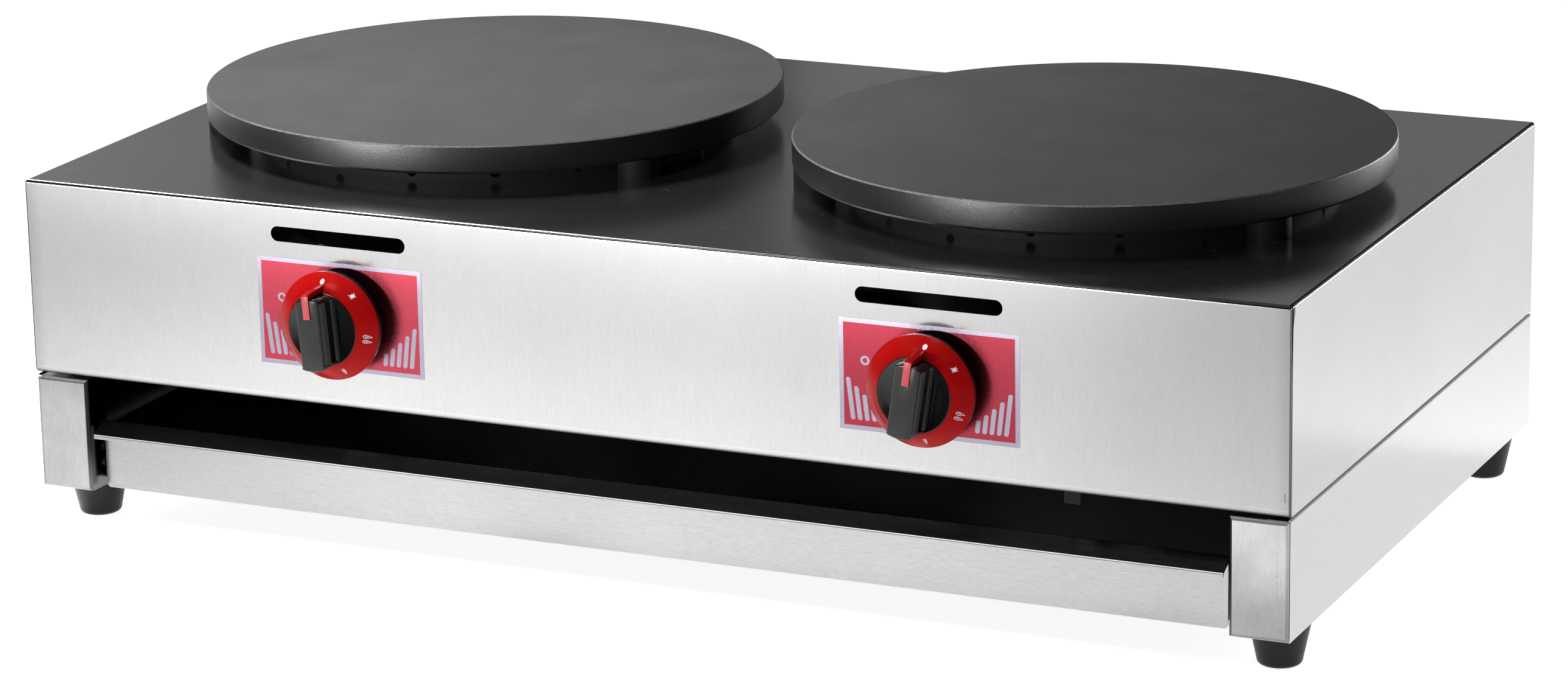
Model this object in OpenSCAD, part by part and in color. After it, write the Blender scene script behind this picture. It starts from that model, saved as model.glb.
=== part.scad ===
// Twin-plate gas crepe maker: two round griddle plates over star burners in a folded steel
// housing, on a base whose crumb tray slides out to the front.
// Millimetres, +Z up, the front faces -Y. The origin is on the standing plane, under the
// middle of the cabinet.

/* [Cabinet] */
// Width of the cabinet's top outside the plates, on each side
side_margin = 26; // [22:0.5:60]
// Depth of the cabinet's top outside the plates, at the front and at the back
depth_margin = 52.5; // [45:0.5:80]
// Height of the upper housing
housing_h = 134.7; // [130:0.1:170]
// Height of the base frame
base_h = 78.5; // [70:0.5:110]
// Open seam between the housing and the base
seam_gap = 2.5; // [1.5:0.1:4]
// Thickness of the folded steel sheet
sheet_t = 1.2; // [0.8:0.1:1.5]
// Outer radius of the sheet's folds
fold_r = 2.6; // [1.8:0.1:3.5]
// Width of the housing's inward flanges
flange_w = 15; // [13:0.5:18]
// Width of the flanges that carry the rear panel
rear_flange_w = 14; // [12:0.5:16]
// Width of the open corner seams between a front sheet and the side sheet behind its end
corner_seam = 0.6; // [0.3:0.1:1]
// Width that the housing's corner seams gain towards the top
seam_flare = 2; // [0:0.1:2.5]
// Height of the wide end of the housing's corner seams
flare_h = 12; // [8:1:20]
// Rounding of the front sheets' free corners
corner_round = 3; // [1:0.5:5]
// Face width of a front post
post_w = 39.5; // [39:0.5:46]
// Depth of the flange that a front post turns back
post_return = 22; // [14:0.5:24]
// Height of the base's side sheets above the top of the posts
side_rise = 1.4; // [0:0.1:1.4]

/* [Plates] */
// Diameter of a griddle plate
plate_d = 400; // [396:1:430]
// Thickness of a griddle plate
plate_t = 19.5; // [16:0.5:26]
// Height of the air gap under a plate
plate_gap = 13.5; // [12:0.5:20]
// Space between the two plates
plate_space = 45; // [30:1:60]
// Chamfer on a plate's edges
plate_chamfer = 0.9; // [0.5:0.1:2]
// Diameter of a plate's foot stud
stud_d = 28; // [20:1:28]
// Distance of a foot stud's side inside the plate's edge
stud_inset = 0.5; // [0:0.5:2]
// Angle of the first foot stud, from +X
stud_angle = -32; // [-50:1:-10]
// Distance of the burner bowl's wall inside the plate's edge
bowl_inset = 50; // [46:0.5:60]
// Width of the flat rim round the bowl, out to the vented ring
bowl_rim = 13; // [8:0.5:15]
// Height of the vented ring
vent_ring_h = 11.3; // [9:0.1:11.5]
// Number of vent holes round the ring
vent_count = 18; // [12:1:20]
// Angle of the first vent hole, from +X
vent_angle = 17; // [0:1:20]
// Diameter of a vent hole
vent_hole_d = 7; // [5:0.5:8]

/* [Front controls] */
// Distance of a knob's axis inwards of its plate's middle
control_inset = 12.5; // [8:0.5:17]
// Depth of a knob's axis below the top panel
knob_drop = 74.5; // [74:0.5:80]
// Width of a dial label
label_w = 122.5; // [110:0.5:130]
// Height of a dial label
label_h = 73.3; // [70:0.1:78]
// Height of the label's middle above the knob's axis
label_rise = 2; // [0:0.5:3]
// Thickness of a dial label
label_t = 0.3; // [0.2:0.05:0.5]
// Length of a sight slot
slot_l = 100; // [80:1:120]
// Height of a sight slot
slot_h = 10.3; // [8:0.1:12]
// Depth of a sight slot's middle below the top panel
slot_drop = 20; // [16:0.5:22]

/* [Knobs] */
// Reach of a knob's grip in front of the panel
knob_reach = 42; // [40:0.5:48]
// Diameter of a knob's coloured skirt
skirt_d = 73.4; // [68:0.1:76]
// Distance of the skirt's edge in front of the panel
skirt_edge = 15; // [14:0.5:18]
// Thickness of the skirt
skirt_t = 1.6; // [1.2:0.1:2.2]
// Diameter of a knob's raised middle disc
disc_d = 49.8; // [46:0.1:52]
// Distance of the middle disc's rim in front of the panel
disc_edge = 25; // [23:0.5:28]
// Width of the grip's flat front
grip_w = 16; // [14:0.5:18]
// Width of the grip's foot
grip_foot_w = 20; // [18.5:0.5:24]
// Width of the pointer strip
pointer_w = 5; // [4:0.5:6]
// Travel of a knob as it is pushed in
push_travel = 3; // [2:0.5:4]
// Turn of the left knob's grip from upright, anticlockwise
left_knob_turn = 4.5; // [-10:0.5:10]
// Turn of the right knob's grip from upright, anticlockwise
right_knob_turn = -9; // [-10:0.5:10]

/* [Gas train] */
// Diameter of a valve spindle
spindle_d = 8; // [6:0.5:9]
// Diameter of a valve's barrel
valve_d = 24; // [22:0.5:26]
// Length of a valve's barrel
valve_l = 28; // [26:0.5:32]
// Length of a knob spring at rest
spring_l = 10; // [9:0.5:12]
// Diameter of the spring wire
spring_wire = 1; // [0.8:0.1:1.2]
// Outside diameter of the gas pipe
pipe_d = 17.2; // [15:0.1:18]
// Wall of the gas pipe
pipe_wall = 2; // [1.5:0.1:2.5]
// Depth of the gas pipe below the knobs' axes
pipe_drop = 26; // [25:0.5:28]
// Bend radius of the gas pipe's corner
pipe_bend = 28; // [20:1:40]
// Distance of the gas inlet from the cabinet's side
inlet_inset = 112.5; // [98:0.5:124]
// Distance of the gas pipe's end from the rear face
inlet_depth = 30; // [24:1:36]
// Length of the gas inlet's hexagon
hex_l = 12; // [8:0.5:14]
// Length of the gas pipe past the left valve
pipe_past = 34; // [24:1:40]
// Diameter of a valve's tap into the pipe
tap_d = 9; // [7:0.5:10]
// Diameter over the inlet's thread
inlet_d = 20.95; // [20.95:0.01:21]
// Width across the inlet's hexagon
inlet_hex = 27; // [25:1:30]
// Distance of the pipe's hanger inwards of the gas inlet
hanger_inset = 36; // [32:1:44]
// Width of the pipe's hanger
hanger_w = 11; // [8:0.5:14]
// Thickness of the pipe's hanger
hanger_t = 2; // [1.5:0.1:2.5]
// How far the hanger's tab hangs below the housing
hanger_tab = 12; // [6:0.5:14]
// Length of a jet
jet_l = 12; // [10:0.5:14]
// Diameter of a jet
jet_d = 10; // [8:0.5:10]
// Length of a valve's neck
neck_l = 6; // [4:0.5:8]
// Thickness of the washer between spring and spindle
washer_t = 1.2; // [1:0.1:1.5]
// Width of a valve's saddle on the pipe
clamp_w = 16; // [14:0.5:20]
// Diameter of a saddle's bolts
clamp_bolt_d = 4; // [3:0.5:5]
// Distance between the jet and the mixer tube's mouth
jet_gap = 6; // [5:0.5:8]

/* [Burners] */
// Wall of a burner bowl
bowl_t = 1; // [0.8:0.1:1.2]
// Diameter of the air hole in a bowl's floor
bowl_hole_d = 92; // [90:1:110]
// Distance between a bowl's floor and the mixer tube
bowl_over_tube = 3.5; // [2:0.5:5]
// Depth of a burner's top below the top panel
burner_drop = 16; // [12:0.5:18]
// Diameter of a burner's hub
hub_d = 52; // [48:1:56]
// Height of a burner's hub
hub_h = 16; // [14:0.5:18]
// Number of burner arms
arm_count = 8; // [8:2:10]
// Diameter of a burner arm
arm_d = 12; // [10:0.5:13]
// Reach of a burner arm from the hub's middle
arm_reach = 112; // [90:1:125]
// Flame ports on each arm
port_count = 6; // [3:1:7]
// Diameter of a flame port
port_d = 2.4; // [1.6:0.1:3]
// Outside diameter of a mixer tube
mixer_d = 22; // [20:0.5:22]
// Wall of a mixer tube
mixer_wall = 1.6; // [1.2:0.1:2]
// Diameter over a mixer tube's mouth
mouth_d = 34; // [30:1:36]
// Length of the flared mouth
mouth_l = 22; // [18:1:28]
// Width of the bracket that carries a burner
bracket_w = 26; // [24.5:0.5:30]
// Thickness of the burner bracket
bracket_t = 2; // [1.5:0.1:2.5]
// Distance of the spark electrode from the hub's side
electrode_gap = 6.5; // [5:0.5:8]
// Diameter of the electrode's ceramic
electrode_d = 7; // [6:0.5:7]
// Diameter of the ignition lead
lead_d = 3; // [2.5:0.1:3.5]
// Radius of the ignition lead's bends
lead_bend = 8; // [6:0.5:10]
// Depth of the ignition lead below the bowl
lead_drop = 6; // [5:0.5:8]
// Width of the igniter beside a valve's barrel
igniter_w = 16; // [12:0.5:20]
// Height of the igniter
igniter_h = 14; // [12:0.5:16]
// Depth of the igniter
igniter_d = 22; // [18:0.5:24]
// Height of the upturned ends of a burner's bracket
bracket_up = 12; // [8:0.5:14]

/* [Crumb tray] */
// Gap between the tray and a front post
tray_side_gap = 4.5; // [3:0.5:10]
// Height of the tray's front above the base's lower edge
tray_front_h = 48; // [40:0.5:50]
// Distance of the tray's front behind the cabinet's front
tray_inset = 12.5; // [10:0.5:14]
// Drop of the tray's slanting lip
lip_drop = 8; // [6:0.5:10]
// Height of the hem at the lip's edge
lip_hem = 2; // [1.5:0.1:3]
// How far the lip is wider than the tray, on each side
lip_side = 1; // [0:0.5:2]
// Height of the tray's side and back walls above its floor
tray_wall_h = 38; // [25:1:40]
// Thickness of the tray's sheet
tray_t = 1; // [0.8:0.1:1.2]
// Height of the tray's underside above the base's lower edge
tray_floor = 6; // [5.5:0.5:9]
// Thickness of a tray runner
runner_t = 1.5; // [1.2:0.1:2]
// Height of a tray runner's upright leg
runner_h = 28; // [24:1:34]

/* [Feet and fasteners] */
// Height of a rubber foot
foot_h = 27.5; // [20:0.5:35]
// Diameter of a foot at its top
foot_top_d = 39.6; // [34:0.2:40]
// Diameter of a foot at its bottom
foot_bottom_d = 27.6; // [24:0.2:32]
// Rounding of a foot's bottom edge
foot_round = 4; // [2:0.5:5]
// Distance of the feet's axes from the front and the back
foot_inset_y = 40.5; // [36:0.5:60]
// Diameter of the bolt that holds a foot
foot_bolt_d = 8; // [6:0.5:8]
// Diameter of the screws that join the housing and the base
screw_d = 4; // [3:0.5:5]
// Diameter of the spacers in the seam
spacer_d = 11; // [9:0.5:12]
// Diameter of a rivet's shank
rivet_d = 3.2; // [3:0.1:4]

/* [Rear panel] */
// Number of air slots behind each burner
vents_per_group = 7; // [5:1:9]
// Width of an air slot
vent_slot_w = 6; // [4:0.5:8]
// Height of an air slot
vent_slot_h = 46; // [30:1:52]
// Distance between neighbouring air slots
vent_slot_pitch = 18; // [14:0.5:20]
// Height of the air slots' middles above the middle of the housing
vent_slot_rise = 18; // [14:0.5:20]
// Distance of the rear panel's screws from its lower and upper edges
rear_screw_inset = 22; // [16:1:30]

/* [Fits] */
// Clearance of a piece in the opening that it sits in
fit_gap = 0.3; // [0.2:0.05:0.4]
// Radial running clearance of a turning shaft
run_gap = 0.05; // [0.03:0.01:0.08]
// Clearance between pieces that are pressed, screwed or welded together
seat_gap = 0.1; // [0.05:0.01:0.15]

/* [Hidden] */
SIDES = ["left", "right"];
$fn = 64;

// Levels and faces of the cabinet
body_w = 2 * plate_d + plate_space + 2 * side_margin;
body_d = plate_d + 2 * depth_margin;
plate_pitch = plate_d + plate_space;
x_side = body_w / 2;
y_front = -body_d / 2;
y_back = body_d / 2;
z_base = foot_h;
z_seam = z_base + base_h;
z_house = z_seam + seam_gap;
z_top = z_house + housing_h;
z_plate = z_top + plate_gap;
z_knob = z_top - knob_drop;
plate_x = plate_pitch / 2;
stud_ring_r = plate_d / 2 - stud_d / 2 - stud_inset;
bowl_r = plate_d / 2 - bowl_inset;
vent_ring_r = bowl_r + bowl_rim;
control_x = plate_x - control_inset;
inlet_x = x_side - inlet_inset;
hanger_x = inlet_x - hanger_inset;
electrode_r = hub_d / 2 + electrode_gap + electrode_d / 2;
hole_r = bowl_r + fit_gap;
panel_back = y_front + sheet_t;

// The gas train, from the panel backwards
washer_d = spindle_d + 8;
panel_hole_d = spindle_d + 6;
washer_y = panel_back + fit_gap;
spring_y = washer_y + washer_t;
neck_y = spring_y + spring_l;
neck_d = spindle_d + 7;
barrel_y = neck_y + neck_l;
barrel_end_y = barrel_y + valve_l;
mouth_y = barrel_end_y + jet_l + jet_gap;
pipe_y = barrel_y + valve_l / 2;
pipe_z = z_knob - pipe_drop;
clamp_d = pipe_d + 17;
clamp_bolt_y = pipe_d / 2 + 4;
knob_back = push_travel + label_t + 0.8;

// The burners, from the top downwards
hub_z = z_top - burner_drop - hub_h;
bowl_h = knob_drop - mixer_d / 2 - bowl_over_tube;
bowl_z = z_top - bowl_h;
mixer_turn = atan2(plate_x - control_x, -mouth_y);
mixer_l = norm([plate_x - control_x, mouth_y]);
lead_z = bowl_z - lead_drop;
electrode_up = hub_h + 6;
electrode_down = 5;

// The tray and its runners
tray_w = 2 * (x_side - post_w - tray_side_gap);
tray_y = y_front + tray_inset;
tray_back_y = y_back - sheet_t - 11;
tray_z = z_base + tray_floor;
tray_top = z_base + tray_front_h;
post_in = x_side - post_w;
runner_in = post_in + sheet_t + seat_gap;
runner_z = tray_z - fit_gap - runner_t;
runner_ledge = 30;
front_leg_y = y_front + post_return + fit_gap;

// Places of the fasteners
foot_x = x_side - foot_top_d / 2;
foot_y = y_back - foot_inset_y;
screw_x = x_side - flange_w / 2 - 1;
SCREW_ROWS = [-0.8, 0, 0.8];

steel = [0.78, 0.78, 0.77];
dark_steel = [0.55, 0.55, 0.55];
iron = [0.16, 0.16, 0.16];
tinted_steel = [0.5, 0.34, 0.28];
brass_yellow = [0.78, 0.62, 0.32];
knob_red = [0.78, 0.07, 0.07];
knob_black = [0.06, 0.06, 0.06];

// Places the right-hand unit's pieces, or their mirror image for the left-hand unit
module unit(side) {
  mirror([side == "left" ? 1 : 0, 0, 0]) children();
}

// Moves the right-hand unit's pieces to the left-hand unit without mirroring them
module shifted(side) {
  translate([side == "left" ? -plate_pitch : 0, 0, 0]) children();
}

// Puts a shape that is drawn along +Z on the knob's axis, with +Z towards the front
module on_knob_axis(side) {
  turn = side == "left" ? left_knob_turn : right_knob_turn;
  sx = side == "left" ? -control_x : control_x;
  translate([sx, y_front, z_knob]) rotate([90, 0, 0]) rotate([0, 0, turn]) children();
}

// Cylinder along +Y from y0 to y1
module rod_y(x, z, y0, y1, d) {
  translate([x, y0, z]) rotate([-90, 0, 0]) cylinder(d = d, h = y1 - y0);
}

// Box between two opposite corners
module span(low, high) {
  translate(low) cube(high - low);
}

// Quarter bend in the XY plane from -Y to +X round the origin, for a tube of radius r
module quarter_bend(bend, r) {
  rotate_extrude(angle = 90) translate([bend, 0]) circle(r = r);
}

// Rounded front slot as a cutter
module slot_cut(cx) {
  z = z_top - slot_drop;
  half = (slot_l - slot_h) / 2;
  translate([cx, y_front - 1, z]) rotate([-90, 0, 0]) linear_extrude(sheet_t + 2) {
    square([2 * half, slot_h], center = true);
    for (s = [-1, 1]) translate([s * half, 0]) circle(d = slot_h);
  }
}

// Section of the housing across the front and top, drawn as [y, z]
module front_section(inset) {
  r = max(fold_r - inset, 0.2);
  difference() {
    translate([y_front + inset, z_house - 1]) square([body_d + 2, housing_h + 1 - inset]);
    translate([y_front + inset, z_top - inset - r]) difference() {
      translate([-1, 0]) square([r + 1, r + 1]);
      translate([r, 0]) circle(r = r);
    }
  }
}

// Section of the housing across its width, drawn as [x, z]
module side_section(inset) {
  r = max(fold_r - inset, 0.2);
  w = x_side - inset;
  difference() {
    translate([-w, z_house - 1]) square([2 * w, housing_h + 1 - inset]);
    for (s = [-1, 1]) translate([s * w, z_top - inset - r]) difference() {
      translate([s > 0 ? -r : -1, 0]) square([r + 1, r + 1]);
      translate([-s * r, 0]) circle(r = r);
    }
  }
}

// The housing's folded outline, grown inwards by inset
module housing_block(inset, y_end) {
  intersection() {
    translate([-x_side - 1, 0, 0]) rotate([90, 0, 90]) linear_extrude(body_w + 2)
      front_section(inset);
    translate([0, y_end, 0]) rotate([90, 0, 0]) linear_extrude(body_d + 2) side_section(inset);
  }
}

module top_housing() {
  color(steel) difference() {
    union() {
      difference() {
        intersection() {
          housing_block(0, y_back);
          span([-x_side, y_front, z_house], [x_side, y_back, z_top]);
        }
        housing_block(sheet_t, y_back + 1);
      }
      // inward flanges along the lower edges and up the rear edges
      span([-x_side + 2 * sheet_t, y_front, z_house],
        [x_side - 2 * sheet_t, y_front + flange_w, z_house + sheet_t]);
      for (s = [-1, 1]) {
        a = s * x_side;
        b = s * (x_side - flange_w);
        span([min(a, b), y_front + flange_w + 1, z_house],
          [max(a, b), y_back - 2 * sheet_t, z_house + sheet_t]);
        c = s * (x_side - rear_flange_w);
        span([min(a, c), y_back - 2 * sheet_t - seat_gap, z_house + 2 * sheet_t],
          [max(a, c), y_back - sheet_t - seat_gap, z_top - sheet_t / 2]);
      }
    }
    for (s = [-1, 1]) {
      translate([s * plate_x, 0, z_top - 2 * sheet_t]) cylinder(r = hole_r, h = 4 * sheet_t, $fn = 128);
      slot_cut(s * control_x);
      rod_y(s * control_x, z_knob, y_front - 1, y_front + sheet_t + 1, panel_hole_d);
      mirror([s > 0 ? 0 : 1, 0, 0]) housing_seam();
      free_corner(s * x_side, z_house, s, -1, y_front - 1, y_front + sheet_t + corner_seam / 2);
      for (k = SCREW_ROWS) translate([s * screw_x, k * foot_y, z_house - 1])
        cylinder(d = screw_d + 2 * seat_gap, h = sheet_t + 2);
    }
    for (s = [-1, 1], z = rear_screw_levels())
      rod_y(s * rear_screw_x(), z, y_back - 3 * sheet_t, y_back, screw_d + 2 * seat_gap);
    // rounded fold along the front's lower edge
    translate([-x_side - 1, 0, 0]) rotate([90, 0, 90]) linear_extrude(body_w + 2)
      translate([y_front, z_house]) fold_corner(-1);
  }
}

// Open seam between the end of the housing's front sheet and the side sheet, wider at the
// top, drawn for +X
module housing_seam() {
  y0 = y_front + sheet_t;
  y1 = y0 + corner_seam;
  y2 = y1 + seam_flare;
  translate([x_side - 2 * sheet_t, 0, 0]) rotate([90, 0, 90]) linear_extrude(2 * sheet_t + 1)
    polygon([[y0, z_house - 1], [y1, z_house - 1], [y1, z_top - 4 * flare_h], [y2, z_top - flare_h],
      [y2, z_top - fold_r / 2], [y0, z_top - fold_r / 2]]);
}

// What is left off a sheet's free corner at [x, z], from y_a to y_b: dx and dz point away
// from the sheet
module free_corner(x, z, dx, dz, y_a, y_b, r = corner_round) {
  translate([0, y_b, 0]) rotate([90, 0, 0]) linear_extrude(y_b - y_a) difference() {
    translate([dx > 0 ? x - r : x - 1, dz > 0 ? z - r : z - 1]) square(r + 1);
    translate([x - dx * r, z - dz * r]) circle(r = r);
  }
}

function rear_screw_x() = x_side - rear_flange_w / 2 - sheet_t / 2;
function rear_screw_levels() = [z_house + rear_screw_inset, z_top - rear_screw_inset];

module rear_panel() {
  w = x_side - sheet_t - fit_gap;
  color(steel) difference() {
    union() {
      span([-w, y_back - sheet_t, z_house], [w, y_back, z_top - sheet_t - seat_gap]);
      span([-w + flange_w, y_back - flange_w, z_house], [w - flange_w, y_back, z_house + sheet_t]);
    }
    // the upper corners clear the inside of the housing's fold
    for (s = [-1, 1]) translate([s * w, y_back + 1, z_top - sheet_t - seat_gap]) rotate([90, 0, 0])
      linear_extrude(flange_w) mirror([0, 1]) fold_corner(s);
    for (s = [-1, 1]) {
      for (i = [0 : vents_per_group - 1])
        translate([s * plate_x + (i - (vents_per_group - 1) / 2) * vent_slot_pitch, y_back - sheet_t / 2,
          (z_house + z_top) / 2 + vent_slot_rise]) cube([vent_slot_w, 4 * sheet_t, vent_slot_h],
            center = true);
      for (z = rear_screw_levels())
        rod_y(s * rear_screw_x(), z, y_back - 3 * sheet_t, y_back + 1, screw_d + 2 * seat_gap);
    }
    rod_y(inlet_x, pipe_z, y_back - 3 * sheet_t, y_back + 1, inlet_d + 2 * fit_gap);
  }
}

// Front post with its return and its two flanges, folded round on all four edges of its
// face, drawn for +X
module front_post() {
  y0 = y_front + sheet_t;
  x_end = x_side - sheet_t;
  difference() {
    union() {
      span([post_in, y_front, z_base], [x_side, y0, z_seam]);
      span([post_in, y_front, z_base], [post_in + sheet_t, y_front + post_return, z_seam]);
      span([post_in + 2 * sheet_t, y_front, z_base], [x_end, y_front + post_return + 2, z_base + sheet_t]);
      span([post_in, y_front, z_seam - sheet_t], [x_end, y_front + flange_w, z_seam]);
    }
    for (e = [[post_in, -1], [x_side, 1]])
      translate([e[0], y_front, z_base - 1]) linear_extrude(base_h + 2) fold_corner(e[1]);
    for (k = [0, 1]) translate([post_in - 1, y_front, k > 0 ? z_seam : z_base]) mirror([0, 0, k])
      rotate([90, 0, 90]) linear_extrude(post_w + 2) fold_corner(-1);
    free_corner(x_side, z_base, 1, -1, y_front - 1, y_front + 2 * corner_round);
    free_corner(x_side, z_seam, 1, 1, y_front - 1, y0 + corner_seam, corner_round / 2);
  }
}

// One side of the base: front post, and the side sheet with its flanges behind an open
// corner seam, drawn for +X
module base_side() {
  y1 = y_front + sheet_t + corner_seam;
  low_y = y_front + 2 * corner_round + 1;
  difference() {
    union() {
      front_post();
      difference() {
        span([x_side - sheet_t, y1, z_base], [x_side, y_back, z_seam + side_rise]);
        // rounded upper edge
        translate([x_side, y_back + 1, z_seam + side_rise]) rotate([90, 0, 0])
          linear_extrude(body_d + 2) mirror([0, 1]) fold_corner(1);
      }
      span([x_side - flange_w, low_y, z_base], [x_side, y_front + post_return + 2, z_base + sheet_t]);
      span([foot_x - foot_top_d / 2, y_front + post_return + 1, z_base],
        [x_side, y_back - 2 * sheet_t, z_base + sheet_t]);
      span([x_side - flange_w, y1, z_seam - sheet_t],
        [x_side - sheet_t / 2, y_back - 2 * sheet_t, z_seam]);
    }
    for (k = [-1, 1]) translate([foot_x, k * foot_y, z_base - 1])
      cylinder(d = foot_bolt_d + 2 * seat_gap, h = sheet_t + 2);
    for (k = SCREW_ROWS) translate([screw_x, k * foot_y, z_seam - 2 * sheet_t])
      cylinder(d = screw_d + 2 * seat_gap, h = 3 * sheet_t);
    for (z = rivet_levels()) rivet_x(post_in - 1, post_in + sheet_t + 1, y_front + post_return - 4, z,
      rivet_d + 2 * seat_gap);
  }
}

// What a rounded fold leaves off a corner at the origin: the sheet lies towards +Y, and
// towards -X where dir is 1 or towards +X where dir is -1
module fold_corner(dir) {
  difference() {
    translate([dir > 0 ? -fold_r : -1, -1]) square([fold_r + 1, fold_r + 1]);
    translate([-dir * fold_r, fold_r]) circle(r = fold_r);
  }
}

function rivet_levels() = [runner_z + runner_h * 0.45, runner_z + runner_h * 0.85];

module rivet_x(x0, x1, y, z, d) {
  translate([x0, y, z]) rotate([0, 90, 0]) cylinder(d = d, h = x1 - x0);
}

module base_side_left() {
  color(steel) mirror([1, 0, 0]) base_side();
}

module base_side_right() {
  color(steel) base_side();
}

module base_back() {
  w = x_side - sheet_t - seat_gap;
  low_w = foot_x - foot_top_d / 2 - fit_gap;
  color(steel) {
    span([-w, y_back - sheet_t, z_base], [w, y_back, z_seam]);
    span([-low_w, y_back - flange_w, z_base], [low_w, y_back, z_base + sheet_t]);
    span([-w + flange_w, y_back - flange_w, z_seam - sheet_t], [w - flange_w, y_back, z_seam]);
  }
}

// A runner's upright leg lies behind the post's return, and its ledge carries the tray
module tray_runner() {
  difference() {
    union() {
      span([runner_in, panel_back + seat_gap + 2 * sheet_t, runner_z],
        [runner_in + runner_t, y_back - sheet_t - seat_gap, runner_z + runner_h]);
      span([runner_in + runner_t - runner_ledge, front_leg_y, runner_z],
        [runner_in + runner_t, y_back - flange_w - fit_gap, runner_z + runner_t]);
    }
    for (z = rivet_levels()) rivet_x(runner_in - 1, runner_in + runner_t + 1,
      y_front + post_return - 4, z,
      rivet_d + 2 * seat_gap);
  }
}

module tray_runner_left() {
  color(dark_steel) mirror([1, 0, 0]) tray_runner();
}

module tray_runner_right() {
  color(dark_steel) tray_runner();
}

// Section of the tray's front wall and slanting lip, drawn as [y, z]
function lip_outline() = [
  [tray_y, z_base + 0.5],
  [tray_y, tray_top - 2 * tray_t],
  [y_front + tray_t, tray_top - lip_drop],
  [y_front + tray_t, tray_top - lip_drop - lip_hem],
  [y_front, tray_top - lip_drop - lip_hem],
  [y_front, tray_top - lip_drop + tray_t],
  [tray_y + tray_t, tray_top],
  [tray_y + tray_t, z_base + 0.5]
];

module crumb_tray() {
  w = tray_w / 2;
  color(steel) difference() {
    crumb_tray_sheet(w);
    for (s = [-1, 1])
      free_corner(s * w, z_base + 0.5, s, -1, tray_y - 1, tray_y + 2 * tray_t);
  }
}

module crumb_tray_sheet(w) {
  union() {
    span([-w, tray_y, tray_z], [w, tray_back_y, tray_z + tray_t]);
    for (s = [-1, 1]) {
      a = s * w;
      b = s * (w - tray_t);
      span([min(a, b), tray_y + tray_t / 2, tray_z], [max(a, b), tray_back_y, tray_z + tray_wall_h]);
    }
    span([-w, tray_back_y - tray_t, tray_z], [w, tray_back_y, tray_z + tray_wall_h]);
    difference() {
      translate([-w - lip_side, 0, 0]) rotate([90, 0, 90]) linear_extrude(2 * (w + lip_side))
        polygon(lip_outline());
      // the lip alone is wider than the tray
      for (s = [-1, 1]) translate([s * (w + 5), tray_y + 5, 0])
        cube([10, 10 + 2 * tray_t, 2 * tray_top], center = true);
    }
  }
}

module foot(sx, sy) {
  slope = (foot_top_d - foot_bottom_d) / 2 / foot_h;
  lift = foot_round * (1 + slope / 3);
  r_low = foot_bottom_d / 2 + slope * lift;
  color([0.05, 0.05, 0.05]) translate([sx * foot_x, sy * foot_y, 0]) difference() {
    rotate_extrude() union() {
      polygon([[0, 0], [r_low - foot_round, 0], [r_low, foot_round], [foot_top_d / 2, foot_h],
        [0, foot_h]]);
      translate([r_low - foot_round, foot_round]) intersection() {
        circle(r = foot_round);
        translate([0, -foot_round]) square(foot_round);
      }
    }
    translate([0, 0, foot_h / 3]) cylinder(d = foot_bolt_d + 2 * run_gap, h = foot_h);
  }
}

module foot_front_left() { foot(-1, -1); }
module foot_front_right() { foot(1, -1); }
module foot_rear_left() { foot(-1, 1); }
module foot_rear_right() { foot(1, 1); }

module foot_bolts() {
  color(dark_steel) for (sx = [-1, 1], sy = [-1, 1]) translate([sx * foot_x, sy * foot_y, 0]) {
    translate([0, 0, foot_h / 3 + seat_gap]) cylinder(d = foot_bolt_d, h = foot_h * 2 / 3 + sheet_t + 9);
    translate([0, 0, z_base + sheet_t + seat_gap]) cylinder(d = foot_bolt_d * 1.8, h = 6, $fn = 6);
  }
}

module seam_spacers() {
  color(knob_black) for (s = [-1, 1], k = SCREW_ROWS) translate([s * screw_x, k * foot_y, z_seam])
    difference() {
    cylinder(d = spacer_d, h = seam_gap);
    translate([0, 0, -1]) cylinder(d = screw_d + 2 * seat_gap, h = seam_gap + 2);
  }
}

// A screw along +Z from a nut at the bottom to a head on top, over a stack of height h
module stack_screw(h) {
  translate([0, 0, -3.5]) cylinder(d = screw_d, h = h + 5);
  translate([0, 0, h + seat_gap]) cylinder(d = screw_d * 1.9, h = 2.4);
  translate([0, 0, -3 - seat_gap]) cylinder(d = screw_d * 1.9, h = 3, $fn = 6);
}

module joining_screws() {
  color(dark_steel) for (s = [-1, 1], k = SCREW_ROWS)
    translate([s * screw_x, k * foot_y, z_seam - sheet_t])
    stack_screw(seam_gap + 2 * sheet_t);
}

module rear_panel_screws() {
  color(dark_steel) for (s = [-1, 1], z = rear_screw_levels()) {
    rod_y(s * rear_screw_x(), z, y_back - 7, y_back + 1, screw_d);
    rod_y(s * rear_screw_x(), z, y_back + seat_gap, y_back + 2, screw_d * 1.9);
  }
}

module base_rivets() {
  y = y_front + post_return - 4;
  color(dark_steel) for (s = ["left", "right"]) unit(s) for (z = rivet_levels()) {
    rivet_x(post_in - 1.2, runner_in + runner_t + 1.2, y, z, rivet_d);
    rivet_x(post_in - 1.2, post_in - seat_gap, y, z, rivet_d * 1.9);
    rivet_x(runner_in + runner_t + seat_gap, runner_in + runner_t + 1.2, y, z, rivet_d * 1.9);
  }
}

// Straight length of pipe along +Z
module pipe_length(h) {
  rotate_extrude() translate([pipe_d / 2 - pipe_wall, 0]) square([pipe_wall, h]);
}

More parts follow.
